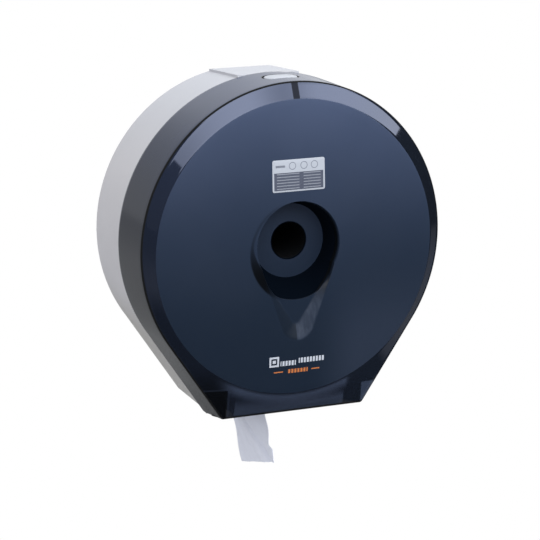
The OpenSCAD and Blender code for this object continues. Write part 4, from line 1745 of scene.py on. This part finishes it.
    def build_knuckles(self) -> bpy.types.Object:
        """Builds both hinge barrels with the webs that carry them.

        Returns:
            The barrels as one piece.
        """
        y, drop, r, x_in = -self.hinge_y, self.hinge_drop, self.knuckle_r, self.knuckle_in
        side = (self.drum_r - drop * math.sin(self.lean)) / math.cos(self.lean)
        x_out, bore = side - self.knuckle_gap, self.bore_r
        profile = [
            (bore, x_in + 4.0),
            (bore, x_in + 0.2),
            (bore + 0.25, x_in),
            (r - 0.4, x_in),
            (r, x_in + 0.4),
            (r, x_out),
            (r - 0.6, x_out + 0.2),
        ]
        barrel = revolve(profile, (0, y, -drop), 48, "x")
        plug = end_caps(barrel)[0]
        low, high, deep = (y, -drop - r + 0.1), (y, -drop + r - 0.1), y - self.web_depth
        back = np.array([low, (deep, -drop + 1), (deep, -drop + 13), high, low])
        web = prism(back, -x_in, -x_in - self.wall)[..., [1, 0, 2]]
        surface = Surface()
        for sign in (1, -1):
            for part in (barrel, plug, web):
                surface.grid(part * [sign, 1, 1], flip=sign < 0)
        return surface.build("cover_knuckles", sharp=40)

    def build_webs(self) -> bpy.types.Object:
        """Builds the U-shaped webs that close the foot's corners off.

        Returns:
            Both webs as one piece.
        """
        x, top, r = self.foot_half_w - 2.5, self.foot_drop - self.pocket_h, self.pocket_r
        bend = polar(r, np.linspace(np.pi, np.pi / 2, 9)) + [x + r, -top - r]
        line = np.concatenate([[[x, -self.skirt_drop]], bend, [[x + self.pocket_w, -top]]])
        path = smooth_path(line, 1.2, 1)
        y = np.linspace(self.rim_y - self.pocket_depth, self.rim_y - 1.2, 6)[:, None]
        share = self.band_at(y)[0]
        low = -self.skirt_drop + (self.skirt_drop - self.foot_drop) * share + 0.4
        z = np.maximum(path[:, 1], low)
        web = upright(np.stack([np.broadcast_to(path[:, 0], z.shape), z], axis=-1), y)
        surface = Surface()
        surface.grid(web).grid(web * [-1, 1, 1], flip=True)
        webs = surface.build("cover_corner_webs")
        solidify(webs, self.wall, offset=0.0)
        return webs

    def build_rib(self) -> bpy.types.Object:
        """Builds the upright rib behind the top of the bezel.

        Returns:
            The rib.
        """
        half, low, high = self.rib_half, self.face_r - self.face_drop - 0.4, self.drum_r - 1
        x, z = [-half, half, half, -half, -half], [low, low, high, high, low]
        return Surface().grid(prism(np.array([x, z]).T, *self.rib_y)).build("cover_rib")

    def dress(self, shop: Workshop) -> None:
        """Builds and places every piece of the cover.

        Args:
            shop: Places the pieces.
        """
        finishes = [SIDE, BEZEL, FACE, WELL]
        shell = self.build_shell()
        shop.place(shell, finishes, Body.COVER, Slot.COVER, ("front_cover",))
        for build in (self.build_knuckles, self.build_webs, self.build_rib):
            shop.place(build(), INNER, Body.COVER, Slot.COVER)


@dataclass
class Label:
    """The silvered label plate on the face, bare but for plain rules."""

    size: Pair = LABEL_SIZE
    centre_z: float = 59.0
    corner_r: float = 1.6
    proud: float = 0.35

    def dress(self, shop: Workshop, cover: Cover) -> None:
        """Lays the plate on the crowned face.

        Rows run from the plate's middle to its edge and down to the face;
        each is the rounded rectangle shrunk towards its middle.

        Args:
            shop: Places the piece.
            cover: The cover whose face carries it.
        """
        half = np.array(self.size) / 2 - self.corner_r
        part = polar(self.corner_r, np.linspace(0, np.pi / 2, 7)) + half
        upper = np.concatenate([part, part[::-1] * [-1, 1]])
        ring = np.concatenate([upper, -upper, part[:1]])
        scales = np.array([0.0, 0.35, 0.7, 0.97, 1.0, 1.0])[:, None]
        lift = np.array([1.0, 1.0, 1.0, 1.0, 0.7, -0.6])[:, None]
        flat = ring * scales[..., None]
        uv = flat / self.size + 0.5
        flat = flat + [0, self.centre_z]
        rows = upright(flat, cover.face_at(flat) + self.proud * lift)
        plate = Surface().grid(rows[::-1], uv=uv[::-1]).build("label_plate")
        shop.place(plate, LABEL, Body.COVER, Slot.COVER)


# --------------------------------------------------------------------------
# Housing, latch, tear strips
# --------------------------------------------------------------------------


@dataclass
class Housing:
    """The housing and everything fixed to it that keeps its CAD shape."""

    smooth: tuple[tuple[str, str, Finish, Slot], ...] = (
        ("housing_shell", "rear_housing", HOUSING, Slot.HOUSING),
        ("latch_guide", "latch_retainer", HOUSING, Slot.HOUSING),
        ("spindle_body", "roll_spindle", SPINDLE, Slot.SPINDLE),
        ("spindle_fixings", "spindle_screws", ZINC, Slot.FASTENER),
        ("latch_fixings", "latch_screws", ZINC, Slot.FASTENER),
        ("tear_strip_fixings", "tear_strip_screws", ZINC, Slot.FASTENER),
        ("pin_left", "hinge_pin_left", ZINC, Slot.FASTENER),
        ("pin_right", "hinge_pin_right", ZINC, Slot.FASTENER),
        ("teeth_left", "tear_strip_left", STEEL, Slot.TEAR_STRIP),
        ("teeth_right", "tear_strip_right", STEEL, Slot.TEAR_STRIP),
    )

    def dress(self, shop: Workshop) -> None:
        """Copies, merges and finishes each fixed node."""
        for name, node, finish, slot in self.smooth:
            shop.place(shop.merged(name, node), finish, Body.ROOT, slot, (node,))


@dataclass
class Latch:
    """The oval button and the coil spring under it."""

    centre_y: float = 86.0
    cap: Pair = (29.0, 16.0)
    edge_r: float = 1.1
    flange: Pair = (31.6, 18.6)
    flange_top: float = 126.485
    flange_h: float = 2.0
    top_r: float = 135.6
    peg_r: float = 2.85
    peg_h: float = 3.0
    spring_r: float = 3.6
    wire_r: float = 0.45
    turns: float = 5.0
    seat: float = 112.185
    spring_h: float = 12.3
    travel: float = 5.2

    def oval(self, size: Pair, inset: float, z: Any) -> Array:
        """A level oval: a line's two ends swept by a half circle each.

        Args:
            size: Length and width of the oval.
            inset: How far it lies inside that size.
            z: Its height, or one for each point.

        Returns:
            Points of shape (65, 3).
        """
        turn = np.linspace(0, 2 * np.pi, 65)
        flat = polar(max(size[1] / 2 - inset, 0.0), turn) - [0, self.centre_y]
        flat[:, 0] += (size[0] - size[1]) / 2 * np.sign(np.round(np.cos(turn), 9))
        return np.stack([flat[:, 0], flat[:, 1], np.broadcast_to(z, turn.shape)], axis=-1)

    def build_button(self) -> bpy.types.Object:
        """Builds the button: a cap that follows the drum, a flange and a peg.

        Returns:
            The button.
        """
        rows = []
        for inset in (8.0, 5.0, 2.6, 1.2, 0.7, 0.35, 0.1, 0.0):
            ring = self.oval(self.cap, inset, 0.0)
            dome = np.sqrt(self.top_r**2 - ring[:, 0] ** 2)
            fall = max(self.edge_r - inset, 0.0)
            ring[:, 2] = dome - (self.edge_r - math.sqrt(self.edge_r**2 - fall**2))
            rows.append(ring)
        top, low = self.flange_top, self.flange_top - self.flange_h
        rows.append(self.oval(self.cap, 0.0, top))
        for inset, z in (
            (0.3, top), (0.0, top - 0.3), (0.0, low + 0.3), (0.3, low), (9.3, low)
        ):
            rows.append(self.oval(self.flange, inset, z))
        foot, r = low - self.peg_h, self.peg_r
        profile = ((r, low + 0.1), (r, foot + 0.4), (r - 0.4, foot), (0.0, foot))
        turn = np.linspace(0, 2 * np.pi, 33)
        peg = [self.level(radius, turn, z) for radius, z in profile]
        surface = Surface()
        surface.grid(np.stack(rows)[:, ::-1]).grid(np.stack(peg)[:, ::-1])
        return surface.build("button_cap", sharp=40)

    def level(self, radius: float, turn: Array, z: Any) -> Array:
        """Points round the button's upright axis at given angles and heights."""
        flat = polar(radius, turn) - [0, self.centre_y]
        return np.concatenate([flat, np.broadcast_to(z, turn.shape)[:, None]], axis=1)

    def build_spring(self) -> bpy.types.Object:
        """Builds the coil: a circle carried along a helix with closed ends.

        The height rises evenly with the turn, but stays low over the first
        half turn and high over the last, as ground ends do.

        Returns:
            The spring.
        """
        points, spare = 220, 0.12
        turn = np.linspace(0, self.turns * 2 * np.pi, points)
        along = np.linspace(-0.06, 1.06, points)
        share = 0.25 * ease(0.0, 1.0, along) + 0.75 * np.clip(along, 0, 1)
        end = self.wire_r + spare
        height = self.seat + end + (self.spring_h - 2 * end) * share
        coil = tube(self.level(self.spring_r, turn, height), self.wire_r, 10)
        surface = Surface()
        for part in (coil, *end_caps(coil)):
            surface.grid(part, flip=True)
        return surface.build("coil_spring", sharp=60)

    def dress(self, shop: Workshop) -> None:
        """Places the button and the spring.

        Args:
            shop: Places the pieces.
        """
        shop.place(self.build_button(), BUTTON, Body.LATCH, Slot.BUTTON, ("latch_button",))
        spring = self.build_spring()
        shop.place(spring, SPRING, Body.ROOT, Slot.SPRING, ("latch_spring",))
        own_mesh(spring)


# --------------------------------------------------------------------------
# Paper
# --------------------------------------------------------------------------


@dataclass
class Roll:
    """The jumbo roll on its core."""

    radius: float = 105.0
    width: float = 89.0
    back: float = 8.2
    hang: float = 7.7
    core_r: float = 30.0
    core_t: float = 1.5

    def build_paper(self) -> bpy.types.Object:
        """Builds the wound paper: end faces that ripple with its layers.

        An end face's depth is a sum of fine and broad ripples in radius,
        so the layers show as rings; the outside is slightly barrelled.

        Returns:
            The roll.
        """
        inner = self.core_r + self.core_t + 0.05
        r = np.linspace(inner, self.radius - 0.6, 150)
        ripple = 0.16 * np.sin(r * 2.9) + 0.1 * np.sin(r * 7.7 + 1)
        ripple = 0.35 + np.abs(ripple + 0.12 * np.sin(r * 0.61))
        front = self.back + self.width
        y = np.linspace(self.back + 0.7, front - 0.7, 12)
        start = np.stack([r, -(self.back + ripple)], axis=1)
        side = np.stack([np.full_like(y, self.radius - 0.1), -y], axis=1)
        end = np.stack([r, -(front - ripple)], axis=1)[::-1]
        profile = np.concatenate([start, side, end, start[:1]])
        surface = Surface().grid(revolve(profile, (0, 0, -self.hang), 180))
        return surface.build("paper_winding", sharp=40)

    def build_core(self) -> bpy.types.Object:
        """Builds the board core, a tube with softened edges.

        Returns:
            The core.
        """
        back, front, soft = -self.back, -self.back - self.width, 0.3
        inner, outer = self.core_r, self.core_r + self.core_t
        profile = [
            (inner, back - soft),
            (inner + soft, back),
            (outer - soft, back),
            (outer, back - soft),
            (outer, front + soft),
            (outer - soft, front),
            (inner + soft, front),
            (inner, front + soft),
            (inner, back - soft),
        ]
        surface = Surface().grid(revolve(profile, (0, 0, -self.hang), 120))
        return surface.build("core_board_tube", sharp=50)

    def dress(self, shop: Workshop) -> None:
        """Places the roll and its core."""
        shop.place(self.build_paper(), ROLL_SIDE, Body.ROLL, Slot.TISSUE, ("paper_roll",))
        shop.place(self.build_core(), BOARD, Body.ROLL, Slot.CORE, ("core_tube",))


@dataclass
class Tail:
    """The loose end: a lead from the roll to the teeth, and what hangs."""

    roll: Roll
    tip: Pair = (-19.8, -147.0)
    exit: Pair = (1.1, -3.0)
    hang: float = 74.0
    slant: float = 26.0
    twist: float = 2.4
    lean: float = 0.235
    torn_z: float = -146.3
    tear: float = 8.0
    crease_fall: float = 62.0
    thickness: float = 0.3
    rows: int = 72
    columns: int = 84

    def lead_line(self) -> Array:
        """Line of the lead: tangent to the roll, then down to the teeth.

        Returns:
            Points (x, z) from the roll to just under the teeth.
        """
        centre = np.array([0.0, -self.roll.hang])
        tip = np.array(self.tip)
        off = self.roll.radius + 0.45
        reach = np.linalg.norm(tip - centre)
        bearing = math.atan2(*(tip - centre)[::-1]) - math.acos(off / reach)
        start = centre + off * np.array([math.cos(bearing), math.sin(bearing)])
        along = (start - tip) / np.linalg.norm(start - tip)
        lead = tip + 4.5 * along + 0.4
        corners = [start, (start + lead) / 2, lead, tip + [0.3, 0.4], tip + self.exit]
        return smooth_path(np.array(corners), 1.5, 4)

    def build_lead(self) -> bpy.types.Object:
        """Builds the straight stretch inside the dispenser.

        Returns:
            The lead.
        """
        line = self.lead_line()
        y = -np.linspace(self.roll.back + 0.4, self.roll.back + self.roll.width - 0.4, 20)
        grid = np.empty((len(line), len(y), 3))
        grid[..., 0], grid[..., 1], grid[..., 2] = line[:, :1], y, line[:, 1:]
        lead = Surface().grid(grid).build("paper_lead")
        solidify(lead, self.thickness, 0.0)
        return lead

    def sheet_points(self) -> Array:
        """Works out the hanging end.

        Down the sheet the line leans by a fixed share; a soft crease runs
        from the back near the teeth to the front at the torn end, and low
        waves grow with the distance from the teeth. The end is cut on a
        slant, and the front edge is torn back to a step.

        Returns:
            Points of shape (rows, columns, 3).
        """
        top = np.array(self.tip) + self.exit
        s = np.linspace(0, 1, self.columns)[None, :]
        h = np.linspace(0, 1, self.rows)[:, None]
        end = self.torn_z - self.hang + self.slant * s
        z = top[1] + h * (end - top[1])
        fall = top[1] - z
        depth = self.roll.back + 0.2 + (self.roll.width - 0.4) * s
        torn = ease(6, 30, fall) * (1 - ease(30.5, 33, fall)) * ease(0.72, 1.0, s)
        depth = depth - self.tear * torn
        free = ease(0.0, 22.0, fall)
        along = s - 0.12 - 0.85 * fall / self.crease_fall
        crease = 3.4 * np.exp(-((along / 0.06) ** 2))
        crease = crease - 2.4 * np.exp(-(((along + 0.2) / 0.1) ** 2))
        waves = 1.3 * np.sin(7.5 * s + 0.06 * fall) + 0.6 * np.sin(17 * s - 0.13 * fall)
        x = top[0] + self.lean * fall + free * (crease + waves)
        x = x + self.twist * (fall / self.hang) * (1 - s)
        ragged = 0.2 * np.sin(23 * s) + 0.12 * np.sin(131 * s + 1)
        z = z + ragged * h**24
        return np.stack([x + 0 * s, -depth + 0 * h, z + 0 * s], axis=-1)

    def build_hanging(self) -> bpy.types.Object:
        """Builds the hanging sheet with its small thickness.

        Returns:
            The sheet.
        """
        obj = Surface().grid(self.sheet_points()).build("paper_hanging", sharp=70)
        solidify(obj, self.thickness, 0.0, even=False)
        return obj

    def dress(self, shop: Workshop) -> None:
        """Places both stretches.

        Args:
            shop: Places the pieces.
        """
        lead, hanging = self.build_lead(), self.build_hanging()
        for piece in (lead, hanging):
            shop.place(piece, TISSUE, Body.ROOT, Slot.TISSUE, ("paper_tail",))
        length = path_length(self.lead_line()) * MM
        grid = self.sheet_points() * MM
        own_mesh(hanging)


def path_length(path: Array) -> float:
    """Length of a broken line, in its points' unit."""
    return float(np.linalg.norm(np.diff(path, axis=0), axis=1).sum())


# --------------------------------------------------------------------------
# Stage
# --------------------------------------------------------------------------


@dataclass(frozen=True)
class Softbox:
    """A rectangular lamp that looks at the dispenser.

    Attributes:
        name: Name of the lamp.
        azimuth: Degrees from straight ahead of the dispenser, to its right.
        elevation: Degrees above its middle.
        distance: Metres from its middle.
        size: Width and height in metres.
        radiance: How bright its surface looks.
        tint: Colour of its light.
        fade: Share of its light that is left at its left edge.
        fold: Where its cloth has a soft upright fold, from 0 at the left to 1.
        dip: Share of its light that is left in that fold.
        fade_width: Share of its width over which it fades.
        fold_width: Share of its width from the fold's middle to its edge.
    """

    name: str
    azimuth: float
    elevation: float
    distance: float
    size: Pair
    radiance: float
    tint: Triple
    fade: float = 1.0
    fold: float = 0.478
    dip: float = 1.0
    fade_width: float = 0.36
    fold_width: float = 0.11

    def place(self) -> None:
        """Puts the lamp up, turned to the middle of the dispenser."""
        light = bpy.data.lights.new(self.name, "AREA")
        light.shape = "RECTANGLE"
        light.size, light.size_y = self.size
        light.energy = self.radiance * math.pi * self.size[0] * self.size[1]
        light.color = self.tint
        s = Sheet.of(light)
        across = s.split(s.get("NewGeometry", output="Parametric"))[0]
        dip = abs(across - self.fold).ramp(0.0, self.fold_width, (self.dip, 1.0))
        strength = dip * across.ramp(0.0, self.fade_width, (self.fade, 1.0))
        s.put("OutputLight", {"Surface": s.get("Emission", {"Strength": strength})})
        az, el = math.radians(self.azimuth), math.radians(self.elevation)
        level = math.cos(el)
        out = Vector((math.sin(az) * level, -math.cos(az) * level, math.sin(el)))
        turn = out.to_track_quat("Z", "Y").to_matrix().to_4x4()
        lamp = stand(self.name, light)
        lamp.matrix_world = Matrix.Translation(out * self.distance) @ turn


@dataclass
class Stage:
    """Floor, lamps, surroundings and camera."""

    floor_z: float = -0.62
    floor_reach: float = 12.0
    eye: Triple = (-0.8301, -1.9340, 0.4569)
    gaze: Triple = (0.39483, 0.88862, -0.23336)
    roll_deg: float = 0.15
    lens: float = 165.3
    surround: float = 0.62
    lamps: tuple[Softbox, ...] = (
        Softbox(
            "key_softbox", 25.0, 44.0, 1.9, (3.68, 1.86), 3.96, (0.94, 0.975, 1.0),
            fade=0.52, dip=0.64,
        ),
        Softbox("left_card", -70.0, 24.0, 2.2, (1.2, 1.6), 2.3, (1.0, 0.99, 0.985)),
    )

    def build_floor(self) -> None:
        """Lays a plain pale floor that shows white to the camera.

        In mirror reflections it is dark below and in front of the dispenser.
        """
        r = self.floor_reach
        corners = [(-r, -r), (r, -r), (r, r), (-r, r)]
        mesh = bpy.data.meshes.new("floor")
        mesh.from_pydata([(x, y, self.floor_z) for x, y in corners], [], [(0, 1, 2, 3)])
        material = bpy.data.materials.new("floor_white")
        s = Sheet.of(material)
        seen, glossy, passing = s.rays()
        # How light the floor looks in a mirror: behind, at the right, ahead
        x, y, _ = s.at()
        behind = y.ramp(-0.2, 2.2, (0.03, 0.45))
        beside = x.ramp(0.36, 0.7, (0.0, 0.18)) * y.ramp(-0.5, -0.3)
        ahead = x.ramp(-1.0, -0.1, (0.16, 0.0)) * y.ramp(-1.2, -0.4, FALL)
        tone = s.mix(glossy, (0.55, 0.55, 0.56, 1), behind | beside | ahead)
        pale = s.get("BsdfDiffuse", {"Color": tone})
        white = s.get("Emission", {"Color": WHITE, "Strength": 1.0})
        blended = s.get("MixShader", {0: seen | passing, 1: pale, 2: white})
        s.put("OutputMaterial", {"Surface": blended})
        mesh.materials.append(material)
        stand("floor", mesh)

    def build_surround(self) -> None:
        """Surrounds the scene: white behind the dispenser, dim in front.

        Camera rays see white all round. Glossy and transmission rays see the
        same white on the far side, and a dim room on the camera's side.
        """
        world = bpy.data.worlds.new("surround")
        bpy.context.scene.world = world
        s = Sheet.of(world)
        seen, glossy, passing = s.rays()
        x, y, z = s.split(s.get("TexCoord", output="Generated"))
        side = x.ramp(-0.32, 0.05, (0.46, 0.95))
        room = x.ramp(-0.4, 0.5, (0.16, 0.02))
        mirrored = s.mix_value(y.ramp(0.0, 0.35), room, side)
        sky = z.ramp(-0.5, 0.5, (0.66 * self.surround, self.surround))
        dim = s.mix_value(glossy | passing, sky, mirrored)
        strength = s.mix_value(seen, dim, 1.0)
        colour = s.mix(seen, (0.96, 0.975, 1.0, 1), WHITE)
        back = s.get("Background", {"Color": colour, "Strength": strength})
        s.put("OutputWorld", {"Surface": back})

    def build_camera(self) -> None:
        """Sets the camera at its angle, with no shift and no blur."""
        data = bpy.data.cameras.new("camera")
        data.lens = self.lens
        data.sensor_width = 36.0
        data.clip_end = 60.0
        turn = Vector(self.gaze).to_track_quat("-Z", "Y").to_matrix().to_4x4()
        spin = Matrix.Rotation(math.radians(self.roll_deg), 4, "Z")
        camera = stand("camera", data)
        camera.matrix_world = Matrix.Translation(self.eye) @ turn @ spin
        bpy.context.scene.camera = camera

    def build(self) -> None:
        """Builds the whole stage."""
        self.build_camera()
        self.build_floor()
        self.build_surround()
        for lamp in self.lamps:
            lamp.place()
        bpy.context.scene.view_settings.view_transform = "Standard"


def main() -> None:
    """Builds the stage and every sub-assembly, in order."""
    logging.basicConfig(level=logging.INFO, format="%(name)s: %(message)s")
    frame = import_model()
    Stage().build()
    build_effects()
    shop = Workshop(frame)
    cover = Cover()
    cover.dress(shop)
    Label().dress(shop, cover)
    Housing().dress(shop)
    Latch().dress(shop)
    roll = Roll()
    roll.dress(shop)
    Tail(roll).dress(shop)
    left = [n for n, o in frame["nodes"].items() if not o.hide_render]
    log.info("%d pieces placed, CAD nodes still shown: %s", len(shop.placed), left)


if __name__ == "__main__":
    main()
